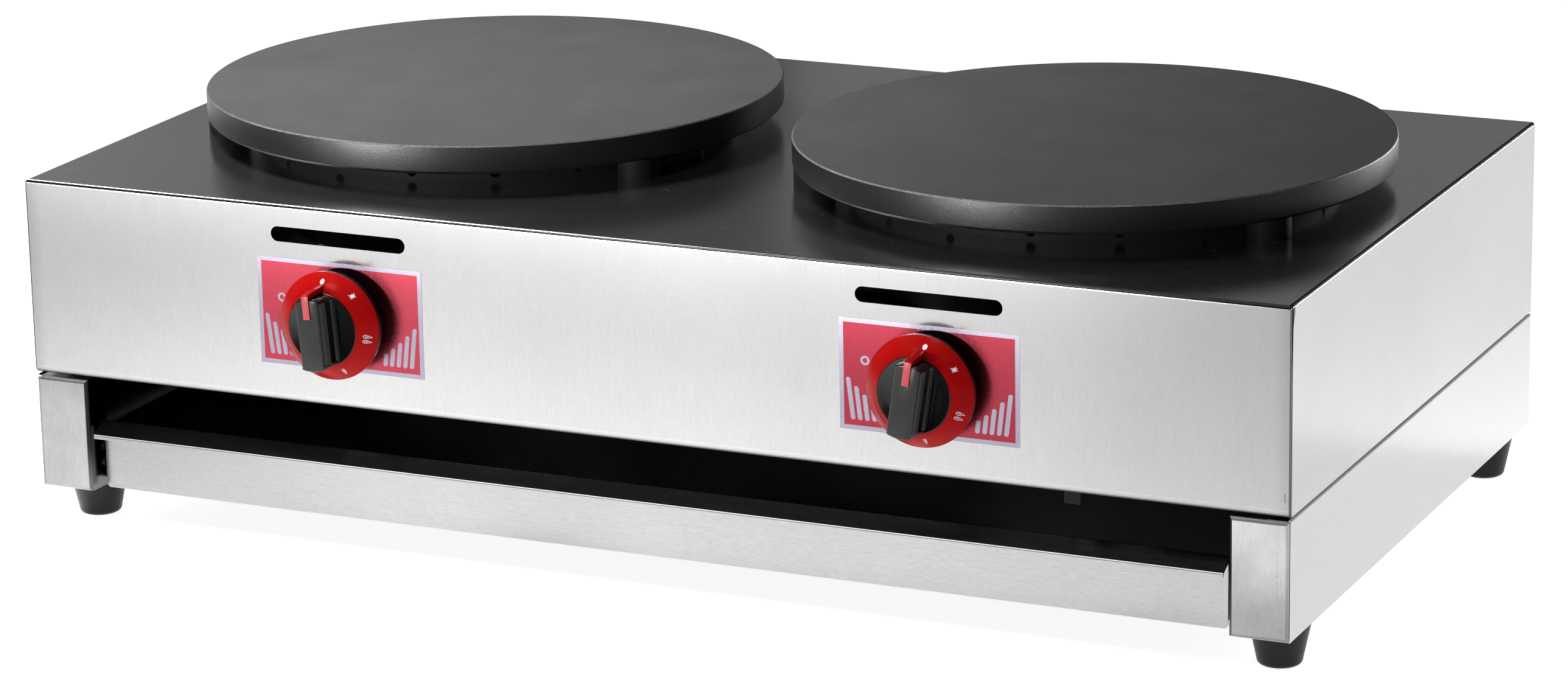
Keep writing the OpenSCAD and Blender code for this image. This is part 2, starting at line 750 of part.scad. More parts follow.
// The pipe runs behind both knobs, then turns to the back
module gas_pipe() {
  left_end = -control_x - pipe_past;
  color(dark_steel) difference() {
    union() {
      translate([left_end, pipe_y, pipe_z]) rotate([0, 90, 0])
        pipe_length(inlet_x - pipe_bend - left_end);
      translate([inlet_x - pipe_bend, pipe_y + pipe_bend, pipe_z]) rotate([0, 0, -90])
        rotate_extrude(angle = 90) translate([pipe_bend, 0]) difference() {
          circle(d = pipe_d);
          circle(d = pipe_d - 2 * pipe_wall);
        }
      translate([inlet_x, pipe_y + pipe_bend, pipe_z]) rotate([-90, 0, 0])
        pipe_length(y_back - inlet_depth - pipe_y - pipe_bend);
    }
    for (s = [-1, 1]) translate([s * control_x, pipe_y, pipe_z])
      cylinder(d = tap_d + 2 * seat_gap, h = pipe_d);
  }
}

module gas_pipe_plug() {
  end = -control_x - pipe_past;
  color(brass_yellow) translate([end, pipe_y, pipe_z]) rotate([0, -90, 0]) {
    translate([0, 0, seat_gap]) cylinder(d = pipe_d + 3, h = 7, $fn = 6);
    translate([0, 0, -9]) cylinder(d = pipe_d - 2 * pipe_wall - 2 * seat_gap, h = 10);
  }
}

// The inlet's end lies as far behind the cabinet as the pointers' fronts lie before it
module gas_inlet() {
  reach = knob_reach + 1;
  bore = pipe_d - 2 * pipe_wall;
  color(brass_yellow) translate([inlet_x, y_back, pipe_z]) rotate([-90, 0, 0]) difference() {
    union() {
      translate([0, 0, -inlet_depth + seat_gap])
        cylinder(d = inlet_d, h = reach + inlet_depth - seat_gap);
      translate([0, 0, seat_gap]) cylinder(d = inlet_hex / cos(30), h = hex_l, $fn = 6);
    }
    translate([0, 0, -inlet_depth - 1]) cylinder(d = bore, h = reach + inlet_depth + 2);
  }
}

module inlet_locknut() {
  color(brass_yellow) translate([inlet_x, y_back - sheet_t - seat_gap, pipe_z]) rotate([90, 0, 0])
    difference() {
    cylinder(d = inlet_hex / cos(30), h = 6, $fn = 6);
    translate([0, 0, -1]) cylinder(d = inlet_d + 2 * run_gap, h = 8);
  }
}

// Strip that stands on the housing's front flange, hangs a tab below it and carries the pipe
module pipe_hanger() {
  y0 = y_front + flange_w + seat_gap;
  floor_z = z_house + sheet_t;
  arm_z = pipe_z - pipe_d / 2 - seat_gap - hanger_t;
  color(steel) translate([hanger_x - hanger_w / 2, 0, 0]) {
    span([0, y0, z_house - hanger_tab], [hanger_w, y0 + hanger_t, arm_z + hanger_t]);
    span([0, y0 - 9, floor_z], [hanger_w, y0 + hanger_t, floor_z + hanger_t]);
    span([0, y0, arm_z], [hanger_w, pipe_y + 6, arm_z + hanger_t]);
  }
}

module plate() {
  r = plate_d / 2;
  c = plate_chamfer;
  color(iron) translate([plate_x, 0, z_plate]) rotate_extrude($fn = 160)
    polygon([[0, 0], [r - 2 * c, 0], [r, 2 * c], [r, plate_t - c], [r - c, plate_t], [0, plate_t]]);
}

module plate_studs() {
  color(iron) for (k = [0 : 2]) translate([plate_x, 0, z_top]) rotate([0, 0, stud_angle + 120 * k])
    translate([stud_ring_r, 0, 0]) cylinder(d = stud_d, h = plate_gap);
}

module vent_ring() {
  color(steel) translate([plate_x, 0, z_top]) difference() {
    cylinder(r = vent_ring_r, h = vent_ring_h, $fn = 128);
    translate([0, 0, -1]) cylinder(r = vent_ring_r - sheet_t, h = vent_ring_h + 2, $fn = 128);
    for (k = [0 : vent_count - 1]) rotate([0, 0, vent_angle + k * 360 / vent_count])
      translate([bowl_r, 0, vent_ring_h / 2]) rotate([0, 90, 0])
        cylinder(d = vent_hole_d, h = 2 * bowl_rim, $fn = 24);
  }
}

module burner_bowl() {
  rim_r = vent_ring_r - sheet_t - fit_gap;
  hole = bowl_hole_d / 2;
  color(tinted_steel) translate([plate_x, 0, z_top]) rotate_extrude($fn = 128) polygon([
    [hole, -bowl_h], [bowl_r, -bowl_h], [bowl_r, 0], [rim_r, 0], [rim_r, bowl_t],
    [bowl_r - bowl_t, bowl_t], [bowl_r - bowl_t, bowl_t - bowl_h], [hole, bowl_t - bowl_h]]);
}

// Angle of burner arm k: the arms stand clear of the bracket, which lies along X
function arm_angle(k) = (k + 0.5) * 360 / arm_count;

module burner() {
  color(iron) translate([plate_x, 0, hub_z]) difference() {
    union() {
      cylinder(d = hub_d, h = hub_h);
      for (k = [0 : arm_count - 1]) rotate([0, 0, arm_angle(k)]) translate([hub_d / 2 - 6, 0, hub_h / 2])
        rotate([0, 90, 0]) cylinder(d = arm_d, h = arm_reach - hub_d / 2 + 6, $fn = 32);
    }
    translate([0, 0, -1]) cylinder(d = mixer_d - 2 * mixer_wall, h = hub_h - 3);
    for (k = [0 : arm_count - 1], i = [0 : port_count - 1]) rotate([0, 0, arm_angle(k)])
      translate([hub_d / 2 + 10 + i * (arm_reach - hub_d / 2 - 18) / (port_count - 1), 0,
        hub_h / 2 + arm_d / 4])
        cylinder(d = port_d, h = arm_d, $fn = 16);
  }
}

module burner_bracket() {
  reach = bowl_r - bowl_t - seat_gap;
  flat = reach - bracket_t;
  color(dark_steel) translate([plate_x, 0, hub_z - bracket_t]) difference() {
    intersection() {
      cylinder(r = reach, h = bracket_up, $fn = 128);
      translate([0, 0, bracket_up / 2]) cube([2 * reach, bracket_w, bracket_up], center = true);
    }
    translate([0, 0, bracket_t]) cylinder(r = flat, h = bracket_up, $fn = 128);
    translate([0, 0, -1]) cylinder(d = mixer_d + 2 * seat_gap, h = bracket_t + 2);
    translate([electrode_r, 0, -1]) cylinder(d = electrode_d + 2 * seat_gap, h = bracket_t + 2);
  }
}

// Tube along the floor of the burner and up into its hub, as a solid of diameter d
module mixer_run(d, past) {
  translate([plate_x, 0, z_knob]) {
    rotate([0, 0, -mixer_turn]) rod_y(0, 0, -mixer_l - past, 0, d);
    translate([0, 0, -d / 2]) cylinder(d = d, h = hub_z - z_knob + d / 2 + past);
  }
}

module mixer_tube() {
  bore = mixer_d - 2 * mixer_wall;
  color(dark_steel) difference() {
    union() {
      mixer_run(mixer_d, 0);
      translate([plate_x, 0, z_knob]) rotate([0, 0, -mixer_turn]) translate([0, -mixer_l, 0])
        rotate([-90, 0, 0])
        rotate_extrude() polygon([[0, 0], [mouth_d / 2, 0], [mixer_d / 2, mouth_l], [0, mouth_l]]);
    }
    mixer_run(bore, 1);
    translate([plate_x, 0, z_knob]) rotate([0, 0, -mixer_turn]) translate([0, -mixer_l - 0.01, 0])
      rotate([-90, 0, 0])
      rotate_extrude() polygon([[0, 0], [mouth_d / 2 - mixer_wall, 0], [bore / 2, mouth_l],
        [0, mouth_l]]);
  }
}

module gas_jet() {
  color(brass_yellow) translate([control_x, barrel_end_y + seat_gap, z_knob]) rotate([-90, 0, 0])
    difference() {
    union() {
      cylinder(d = jet_d + 2, h = 5, $fn = 6);
      cylinder(d = jet_d - 2, h = jet_l - seat_gap);
    }
    translate([0, 0, -1]) cylinder(d = 4, h = jet_l - 3);
    translate([0, 0, -1]) cylinder(d = 1.2, h = jet_l + 2, $fn = 16);
  }
}

module gas_valve() {
  foot_top = z_knob - valve_d / 4;
  foot_low = pipe_z + fit_gap;
  color(brass_yellow) difference() {
    union() {
      rod_y(control_x, z_knob, neck_y, barrel_y + 1, neck_d);
      rod_y(control_x, z_knob, barrel_y, barrel_end_y, valve_d);
      span([control_x - clamp_w / 2, pipe_y - clamp_d / 2, foot_low],
        [control_x + clamp_w / 2, pipe_y + clamp_d / 2, pipe_z + 7]);
      span([control_x - clamp_w / 2, barrel_y + 2, foot_low],
        [control_x + clamp_w / 2, barrel_end_y - 2, foot_top]);
      translate([control_x, pipe_y, pipe_z + pipe_d / 2 - pipe_wall]) cylinder(d = tap_d, h = 6);
      // spark generator on the valve's outer side
      span([control_x + valve_d / 4, pipe_y - igniter_d / 2, lead_z - igniter_h / 2],
        [control_x + valve_d / 2 + igniter_w, pipe_y + igniter_d / 2, lead_z + igniter_h / 2]);
    }
    translate([control_x - clamp_w, pipe_y, pipe_z]) rotate([0, 90, 0]) difference() {
      cylinder(d = pipe_d + 2 * seat_gap, h = 2 * clamp_w);
      translate([-pipe_d, 0, clamp_w]) rotate([0, 90, 0])
        cylinder(d = tap_d, h = pipe_d / 2 + pipe_wall);
    }
    rod_y(control_x, z_knob, neck_y - 1, spindle_end_y() + push_travel + 1, spindle_d + 2 * run_gap);
    for (s = [-1, 1]) translate([control_x, pipe_y + s * clamp_bolt_y, foot_low - 1])
      cylinder(d = clamp_bolt_d + 2 * seat_gap, h = pipe_d);
  }
}

function spindle_end_y() = neck_y + neck_l + 5;

module valve_clamp() {
  low = pipe_z - pipe_d / 2 - 3;
  color(dark_steel) {
    difference() {
      span([control_x - clamp_w / 2, pipe_y - clamp_d / 2, low],
        [control_x + clamp_w / 2, pipe_y + clamp_d / 2, pipe_z - fit_gap]);
      translate([control_x - clamp_w, pipe_y, pipe_z]) rotate([0, 90, 0])
        cylinder(d = pipe_d + 2 * seat_gap, h = 2 * clamp_w);
      for (s = [-1, 1]) translate([control_x, pipe_y + s * clamp_bolt_y, low - 1])
        cylinder(d = clamp_bolt_d + 2 * seat_gap, h = clamp_d);
    }
    for (s = [-1, 1]) translate([control_x, pipe_y + s * clamp_bolt_y, low]) {
      translate([0, 0, -3 - seat_gap]) cylinder(d = clamp_bolt_d * 1.7, h = 3, $fn = 6);
      translate([0, 0, -1]) cylinder(d = clamp_bolt_d, h = pipe_z + 9 - low);
    }
  }
}

module spindle_of(side) {
  back = spindle_end_y() - y_front;
  color(dark_steel) on_knob_axis(side) {
    translate([0, 0, -back]) cylinder(d = spindle_d, h = back + knob_back + 12);
    translate([0, 0, -(washer_y - y_front) + seat_gap]) cylinder(d = spindle_d + 3, h = 1);
  }
}

module washer_of(side) {
  color(dark_steel) on_knob_axis(side) translate([0, 0, -(spring_y - y_front)]) difference() {
    cylinder(d = washer_d, h = washer_t);
    translate([0, 0, -1]) cylinder(d = spindle_d + 2 * run_gap, h = washer_t + 2);
  }
}

// Coil spring round the spindle, from the valve's neck to the washer
module spring_of(side) {
  coil_r = spindle_d / 2 + spring_wire / 2 + 1;
  turns = 4;
  steps = 16;
  sides = 6;
  n = turns * steps;
  h = spring_l - 2 * fit_gap - spring_wire;
  points = [for (i = [0 : n], j = [0 : sides - 1])
    let (a = 360 * i / steps, b = 360 * j / sides, r = coil_r + spring_wire / 2 * cos(b))
    [r * cos(a), r * sin(a), spring_wire / 2 + h * i / n + spring_wire / 2 * sin(b)]];
  faces = [for (i = [0 : n - 1], j = [0 : sides - 1])
    let (k = (j + 1) % sides) [i * sides + k, i * sides + j, (i + 1) * sides + j, (i + 1) * sides + k]];
  color(dark_steel) on_knob_axis(side) translate([0, 0, -(neck_y - y_front) + fit_gap])
    polyhedron(points, concat(faces, [[for (j = [0 : sides - 1]) j]],
      [[for (j = [sides - 1 : -1 : 0]) n * sides + j]]), convexity = 6);
}

// Coloured cone round the knob
module skirt_of(side) {
  r = skirt_d / 2;
  ri = disc_d / 2;
  color(knob_red) on_knob_axis(side) rotate_extrude($fn = 96)
    polygon([[r, skirt_edge - 1], [r, skirt_edge], [ri, disc_edge], [ri, disc_edge - skirt_t * 1.2],
      [r - 1, skirt_edge - 1]]);
}

// Black body: hub, flange behind the skirt, dished disc and the bar of the grip
module grip_of(side) {
  r = skirt_d / 2;
  ri = disc_d / 2;
  flange_back = skirt_edge - 5.5;
  under = skirt_t * 1.2 + seat_gap;
  foot_z = skirt_edge + 2;
  color(knob_black) on_knob_axis(side) difference() {
    union() {
      rotate_extrude($fn = 96) polygon([[0, knob_back], [12, knob_back], [12, flange_back],
        [r - 0.6, flange_back],
        [r - 0.6, skirt_edge - 1 - seat_gap], [r - 1.2, skirt_edge - 1 - seat_gap],
          [ri - 0.1, disc_edge - under],
        [ri - 0.1, disc_edge], [ri - 1, disc_edge], [ri - 5, disc_edge - 2.5], [0, disc_edge - 3]]);
      intersection() {
        translate([0, 0, foot_z]) cylinder(r = ri - 0.4, h = knob_reach - foot_z, $fn = 96);
        rotate([90, 0, 0]) linear_extrude(disc_d + 2, center = true)
          polygon([[-grip_foot_w / 2, foot_z], [grip_foot_w / 2, foot_z], [grip_foot_w / 2, disc_edge],
            [grip_w / 2, knob_reach], [-grip_w / 2, knob_reach], [-grip_foot_w / 2, disc_edge]]);
      }
    }
    translate([0, 0, knob_back - 1]) cylinder(d = spindle_d + 2 * run_gap, h = 13 + seat_gap);
  }
}

// Strip over the grip's upper end and down onto its front
module pointer_of(side) {
  r = skirt_d / 2;
  ri = disc_d / 2;
  tip_r = ri + 4.6;
  tip_z = disc_edge - (disc_edge - skirt_edge) * (tip_r - ri) / (r - ri) + seat_gap;
  color(knob_red) on_knob_axis(side) translate([-pointer_w / 2, 0, 0]) rotate([90, 0, 90])
    linear_extrude(pointer_w)
    polygon([[ri - 13.8, knob_reach + seat_gap], [ri - 13.8, knob_reach + 1], [ri + 2.6, knob_reach + 1],
      [tip_r, tip_z], [ri + 0.1, disc_edge + seat_gap], [ri - 0.3, disc_edge + 1],
        [ri - 0.3, knob_reach + seat_gap]]);
}

module label_of(side) {
  sx = side == "left" ? -control_x : control_x;
  color([0.8, 0.25, 0.35]) difference() {
    span([sx - label_w / 2, y_front - label_t, z_knob + label_rise - label_h / 2],
      [sx + label_w / 2, y_front, z_knob + label_rise + label_h / 2]);
    rod_y(sx, z_knob, y_front - 1, y_front + 1, panel_hole_d + 2);
  }
}

module spark_electrode() {
  color([0.9, 0.88, 0.82]) translate([plate_x + electrode_r, 0, hub_z]) {
    translate([0, 0, -bracket_t - electrode_down]) cylinder(d = electrode_d,
      h = electrode_up + bracket_t + electrode_down);
    translate([0, 0, seat_gap]) cylinder(d = electrode_d + 3, h = 2);
    translate([0, 0, electrode_up - 1]) cylinder(d = 2, h = 5);
  }
}

// Lead from the electrode, down through the bowl's floor, forward and across to the valve
module ignition_lead() {
  r = lead_d / 2;
  lx = plate_x + electrode_r;
  top = hub_z - bracket_t - electrode_down - seat_gap;
  block = control_x + valve_d / 2 + igniter_w + seat_gap;
  color([0.75, 0.2, 0.15]) {
    translate([lx, 0, lead_z + lead_bend]) cylinder(r = r, h = top - lead_z - lead_bend);
    translate([lx, -lead_bend, lead_z + lead_bend]) rotate([90, 0, 90]) rotate([0, 0, -90])
      quarter_bend(lead_bend, r);
    rod_y(lx, lead_z, pipe_y + lead_bend, -lead_bend, lead_d);
    translate([lx - lead_bend, pipe_y + lead_bend, lead_z]) rotate([0, 0, -90])
      quarter_bend(lead_bend, r);
    translate([block, pipe_y, lead_z]) rotate([0, 90, 0]) cylinder(r = r, h = lx - lead_bend - block);
  }
}

top_housing();
rear_panel();
base_side_left();
base_side_right();
base_back();
tray_runner_left();
tray_runner_right();
crumb_tray();
foot_front_left();
foot_front_right();
foot_rear_left();
foot_rear_right();
foot_bolts();
seam_spacers();
joining_screws();
rear_panel_screws();
base_rivets();
gas_pipe();
gas_pipe_plug();
gas_inlet();
inlet_locknut();
pipe_hanger();
for (s = SIDES) {
  unit(s) plate();
  shifted(s) plate_studs();
  shifted(s) vent_ring();
  unit(s) burner_bowl();
  unit(s) burner();
  unit(s) burner_bracket();
  unit(s) mixer_tube();
  unit(s) gas_jet();
  unit(s) gas_valve();
  unit(s) valve_clamp();
  spindle_of(s);
  washer_of(s);
  spring_of(s);
  skirt_of(s);
  grip_of(s);
  pointer_of(s);
  label_of(s);
  unit(s) spark_electrode();
  unit(s) ignition_lead();
}
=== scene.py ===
import math

import bmesh
import bpy
from mathutils import Matrix, Vector


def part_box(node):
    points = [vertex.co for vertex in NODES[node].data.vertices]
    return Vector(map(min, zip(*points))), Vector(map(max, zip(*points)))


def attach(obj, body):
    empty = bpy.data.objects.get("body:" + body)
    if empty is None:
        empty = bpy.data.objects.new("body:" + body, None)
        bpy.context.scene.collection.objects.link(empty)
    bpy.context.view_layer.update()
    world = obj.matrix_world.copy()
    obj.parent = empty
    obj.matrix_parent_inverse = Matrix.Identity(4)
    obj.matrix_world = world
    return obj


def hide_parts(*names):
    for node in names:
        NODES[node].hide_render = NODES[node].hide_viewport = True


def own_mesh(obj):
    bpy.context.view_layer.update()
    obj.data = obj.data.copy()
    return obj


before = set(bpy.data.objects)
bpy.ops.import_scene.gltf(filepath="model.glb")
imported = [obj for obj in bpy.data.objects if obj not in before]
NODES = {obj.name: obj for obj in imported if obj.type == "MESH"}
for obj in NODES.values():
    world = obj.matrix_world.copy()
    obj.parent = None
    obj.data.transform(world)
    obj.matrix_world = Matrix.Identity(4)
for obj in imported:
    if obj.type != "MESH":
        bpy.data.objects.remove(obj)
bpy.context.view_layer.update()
MM = 0.001
TURN = 2 * math.pi
SIDES = {"left": -1, "right": 1}

# ---- Places taken from the metal, in millimetres -------------------------------------------
def corners(node):
    """The low and the high corner of a CAD node, to a hundredth of a millimetre."""
    return [[round(v / MM, 2) for v in corner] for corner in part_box(node)]


(_, FRONT_Y, HOUSING_Z), (SIDE_X, _, TOP_Z) = corners("top_housing")
(_, _, PLATE_Z), (plate_end, _, plate_top) = corners("right_plate")
(skirt_left, _, skirt_foot), (skirt_right, _, skirt_head) = corners("right_knob_skirt")
PLATE_R = 200.0
PLATE_X, PLATE_T = plate_end - PLATE_R, plate_top - PLATE_Z
CONTROL_X, KNOB_Z = (skirt_left + skirt_right) / 2, (skirt_foot + skirt_head) / 2

# ---- Sizes that the finishes and the turned pieces need, in millimetres --------------------
TRAY_WALL_Y = -239.4        # the tray's inside is painted dark as shade behind this
TRAY_HEM_Y, TRAY_HEM_Z = -251.4, 68.5
KNOB_TURN = {"left": 4.5, "right": -9.0}        # how the knobs stand at rest, in degrees
SKIRT_R, SKIRT_EDGE = 36.7, 15.0
DISC_R, DISC_EDGE = 24.9, 25.0
GRIP_TOP = 42.0
MARKS_R = 31.2

# ---- Finish sizes --------------------------------------------------------------------------
GRAIN_PULL = 0.09           # how far noise is drawn out along the brushing
GRAIN_DEPTH = 0.005 * MM
SAND_DEPTH = 0.12 * MM      # casting skin of the iron
STAIN_DEPTH = 0.1 * MM
DUST_GREY = (0.4, 0.4, 0.4)


# ---- Shader building -----------------------------------------------------------------------
class Bench:
    """Adds nodes to one node tree and joins them by input name."""

    def __init__(self, tree):
        self.tree = tree

    def feed(self, socket, value):
        """Joins a socket to the one that feeds it, or sets its value."""
        if isinstance(value, bpy.types.NodeSocket):
            self.tree.links.new(value, socket)
        else:
            socket.default_value = value

    def put(self, kind, options=None, **inputs):
        """Adds a node, with its options and its inputs, each by name or, after an underscore, by number."""
        made = self.tree.nodes.new("ShaderNode" + kind)
        for name, value in (options or {}).items():
            setattr(made, name, value)
        for name, value in inputs.items():
            key = int(name[1:]) if name[0] == "_" else name.replace("_", " ")
            self.feed(made.inputs[key], value)
        return made

    def use(self, group, **inputs):
        """Puts an effect group in the tree and gives its outputs."""
        made = self.tree.nodes.new("ShaderNodeGroup")
        made.node_tree = group
        for name, value in inputs.items():
            self.feed(made.inputs[name], value)
        return made.outputs

    def math(self, operation, a, b=0.0, c=0.0, clamp=False):
        return self.put("Math", {"operation": operation, "use_clamp": clamp}, _0=a, _1=b, _2=c).outputs[0]

    def times(self, *values):
        product = values[0]
        for value in values[1:]:
            product = self.math("MULTIPLY", product, value)
        return product

    def plus(self, a, b):
        return self.math("ADD", a, b)

    def less(self, a, b):
        return self.math("LESS_THAN", a, b)

    def more(self, a, b):
        return self.math("GREATER_THAN", a, b)

    def magnitude(self, a):
        return self.math("ABSOLUTE", a)

    def near(self, a, b, reach):
        """1 where a is within reach of b, 0 elsewhere."""
        return self.math("COMPARE", a, b, reach)

    def mix(self, factor, a, b):
        return self.put("Mix", {"data_type": "FLOAT"}, _0=factor, _2=a, _3=b).outputs[0]

    def tint(self, factor, a, b):
        """Mixes two colours, each a socket or three numbers."""
        made = self.put("Mix", {"data_type": "RGBA"}, _0=factor)
        for socket, value in ((made.inputs[6], a), (made.inputs[7], b)):
            self.feed(socket, (*value, 1) if isinstance(value, tuple) else value)
        return made.outputs[2]

    def grey(self, value, blue=1.0):
        """A colour with three like channels, or with a slightly weaker blue one."""
        last = value if blue == 1.0 else self.times(value, blue)
        return self.put("CombineColor", None, Red=value, Green=value, Blue=last).outputs[0]

    def ramp(self, factor, stops):
        made = self.put("ValToRGB", None, Fac=factor)
        elements = made.color_ramp.elements
        while len(elements) < len(stops):
            elements.new(0.5)
        for element, (place, tone) in zip(elements, stops):
            element.position = place
            element.color = (*tone, 1)
        return made.outputs["Color"]

    def range(self, value, low, high, to_low=0.0, to_high=1.0, smooth=False):
        kind = "SMOOTHSTEP" if smooth else "LINEAR"
        made = self.put("MapRange", {"interpolation_type": kind}, Value=value)
        for name, number in (("From Min", low), ("From Max", high), ("To Min", to_low), ("To Max", to_high)):
            made.inputs[name].default_value = number
        return made.outputs["Result"]

    def fade(self, mask, tone):
        """A factor that is 1 off the mask and a tone on it."""
        return self.range(mask, 0.0, 1.0, 1.0, tone)

    def noise(self, place, scale, detail, roughness):
        made = self.put("TexNoise", None, Vector=place, Scale=scale, Detail=detail, Roughness=roughness)
        return made.outputs[0]

    def axes(self, vector):
        return self.put("SeparateXYZ", None, Vector=vector).outputs

    def facing(self):
        return self.axes(self.put("NewGeometry").outputs["Normal"])


def effect_group(name, inputs, outputs):
    """Starts a shader node group and gives it with its bench, its input and its output sockets."""
    group = bpy.data.node_groups.new(name, "ShaderNodeTree")
    for label, kind, value in inputs:
        socket = group.interface.new_socket(label, in_out="INPUT", socket_type="NodeSocket" + kind)
        if value is not None:
            socket.default_value = value
    for label, kind in outputs:
        group.interface.new_socket(label, in_out="OUTPUT", socket_type="NodeSocket" + kind)
    given, out = group.nodes.new("NodeGroupInput").outputs, group.nodes.new("NodeGroupOutput").inputs
    return group, Bench(group), given, out


def make_brushed_grain():
    """Fine parallel scratches: the vector comes pressed together along the grain."""
    group, b, given, out = effect_group(
        "brushed_grain",
        [("Vector", "Vector", None), ("Lines", "Float", 1900.0)],
        [("Height", "Float"), ("Shade", "Float")])
    fine = b.noise(given["Vector"], given["Lines"], 3.0, 0.6)
    broad = b.noise(given["Vector"], b.times(given["Lines"], 0.23), 2.0, 0.5)
    height = b.math("SUBTRACT", b.plus(b.times(fine, 0.8), b.times(broad, 0.2)), 0.5)
    b.feed(out["Height"], height)
    b.feed(out["Shade"], b.math("ADD", b.times(height, 2.2), 0.5, clamp=True))
    return group


def make_cloud():
    """Soft, broad unevenness of a surface."""
    group, b, given, out = effect_group(
        "soft_cloud",
        [("Vector", "Vector", None), ("Size", "Float", 9.0), ("Low", "Float", 0.8), ("High", "Float", 1.2)],
        [("Value", "Float")])
    noise = b.noise(given["Vector"], given["Size"], 4.0, 0.55)
    made = b.put("MapRange", None, Value=noise, From_Min=0.3, From_Max=0.7,
                 To_Min=given["Low"], To_Max=given["High"])
    b.feed(out["Value"], made.outputs[0])
    return group


def make_specks():
    """Scattered dust: 1 on a speck, 0 elsewhere."""
    group, b, given, out = effect_group(
        "dust_specks",
        [("Vector", "Vector", None), ("Cells", "Float", 220.0),
         ("Share", "Float", 0.12), ("Radius", "Float", 0.16)],
        [("Mask", "Float")])
    cells = b.put("TexVoronoi", {"feature": "F1"}, Vector=given["Vector"], Scale=given["Cells"])
    chance = b.put("SeparateColor", None, Color=cells.outputs["Color"]).outputs
    radius = b.times(given["Radius"], b.plus(chance[1], 0.3))
    inside = b.less(cells.outputs["Distance"], radius)
    b.feed(out["Mask"], b.times(inside, b.less(chance[0], given["Share"])))
    return group


GRAIN = make_brushed_grain()
CLOUD = make_cloud()
SPECKS = make_specks()


def new_material(name, **constants):
    """A material with its bench, its Principled BSDF and its object coordinates."""
    made = bpy.data.materials.new(name)
    made.use_nodes = True
    b = Bench(made.node_tree)
    shader = made.node_tree.nodes["Principled BSDF"]
    for label, value in constants.items():
        socket = shader.inputs[label.replace("_", " ")]
        socket.default_value = (*value, 1) if isinstance(value, tuple) else value
    return made, b, shader, b.put("TexCoord").outputs["Object"]


def wire(b, shader, **sources):
    for label, source in sources.items():
        b.feed(shader.inputs[label.replace("_", " ")], source)


def bump(b, shader, height, distance):
    wire(b, shader, Normal=b.put("Bump", None, Height=height, Strength=1.0, Distance=distance).outputs[0])


def brushed(b, place, along, **options):
    """The brushed grain along an axis: object coordinates are pressed together that way."""
    scale = {"x": (GRAIN_PULL, 1, 1), "y": (1, GRAIN_PULL, 1), "z": (1, 1, GRAIN_PULL)}[along]
    return b.use(GRAIN, Vector=b.put("Mapping", None, Vector=place, Scale=scale).outputs[0], **options)


def sheet_steel(name, tone, painted_shading=None):
    """A flat sheet with its grain across the cabinet, and its own painted light and shade where one is given.
    """
    made, b, shader, place = new_material(name, Metallic=1.0)
    grain = brushed(b, place, "x")
    cloud = b.use(CLOUD, Vector=place, Size=7.0, Low=0.96, High=1.03)[0]
    shade = b.times(b.range(grain["Shade"], 0.0, 1.0, tone * 0.88, tone * 1.084), cloud)
    if painted_shading:
        shade = b.times(shade, painted_shading(b, b.axes(place)))
    wire(b, shader, Base_Color=b.grey(shade, 0.995), Roughness=b.range(grain["Shade"], 0.0, 1.0, 0.28, 0.15))
    bump(b, shader, grain["Height"], GRAIN_DEPTH)
    return made


def tray_painted_shading(b, spot):
    """Painted shade inside, painted shade growing towards the left end and painted light towards the right
    end, and on the lip's hem a painted highlight over a painted shadow line.
    """
    hem = b.less(spot[1], TRAY_HEM_Y * MM)
    # a painted highlight along the lip's hem, and a painted shadow line under it
    hem_highlight = b.times(b.near(spot[2], (TRAY_HEM_Z - 0.2) * MM, 0.3 * MM), hem)
    hem_shadow_line = b.times(b.near(spot[2], (TRAY_HEM_Z - 0.9) * MM, 0.28 * MM), hem)
    # the tray's inside is painted dark as shade
    tray_inside_shade = b.more(spot[1], TRAY_WALL_Y * MM)
    # painted shade growing towards the left end, painted light towards the right end
    return b.times(b.range(spot[0], -410 * MM, -120 * MM, 0.74, 0.9, smooth=True),
                   b.range(spot[0], 50 * MM, 400 * MM, 1.0, 1.14),
                   b.fade(tray_inside_shade, 0.07), b.fade(hem_highlight, 1.6), b.fade(hem_shadow_line, 0.4))


def flatness(b, facing):
    """1 on the flat sheets, 0 on the folds, where the brushing is rubbed smooth; the housing also paints
    shade on the folds by it.
    """
    most = b.magnitude(facing[0])
    for side in (1, 2):
        most = b.math("MAXIMUM", most, b.magnitude(facing[side]))
    return b.range(most, 0.96, 0.998)


def scribed_lines(b, place, spot, top):
    """Lines scribed beside the folds: low and high on the upright sheets, and along the top's right edge."""
    low = b.near(spot[2], (HOUSING_Z + 4.6) * MM, 0.28 * MM)
    high = b.near(spot[2], (TOP_Z - 7.0) * MM, 0.2 * MM)
    edge = b.times(b.near(spot[0], (SIDE_X - 10.0) * MM, 0.2 * MM), top)
    kept = b.range(b.noise(place, 90.0, 3.0, 0.7), 0.3, 0.6, 0.2, 1.0)
    lines = b.plus(b.plus(b.times(low, 0.3), b.times(high, 0.16)), b.times(edge, 0.7))
    return b.math("MULTIPLY", lines, kept, clamp=True)


def handling_scratches(b, place, spot, top):
    """Short scratches on the top, most of them near the front edge."""
    drawn = b.put("Mapping", None, Vector=place, Rotation=(0, 0, math.radians(-7)),
                  Scale=(0.06, 1, 1)).outputs[0]
    forward = b.range(spot[1], -120 * MM, -215 * MM, smooth=True)
    return b.times(b.range(b.noise(drawn, 520.0, 1.0, 0.4), 0.735, 0.76), top, forward)


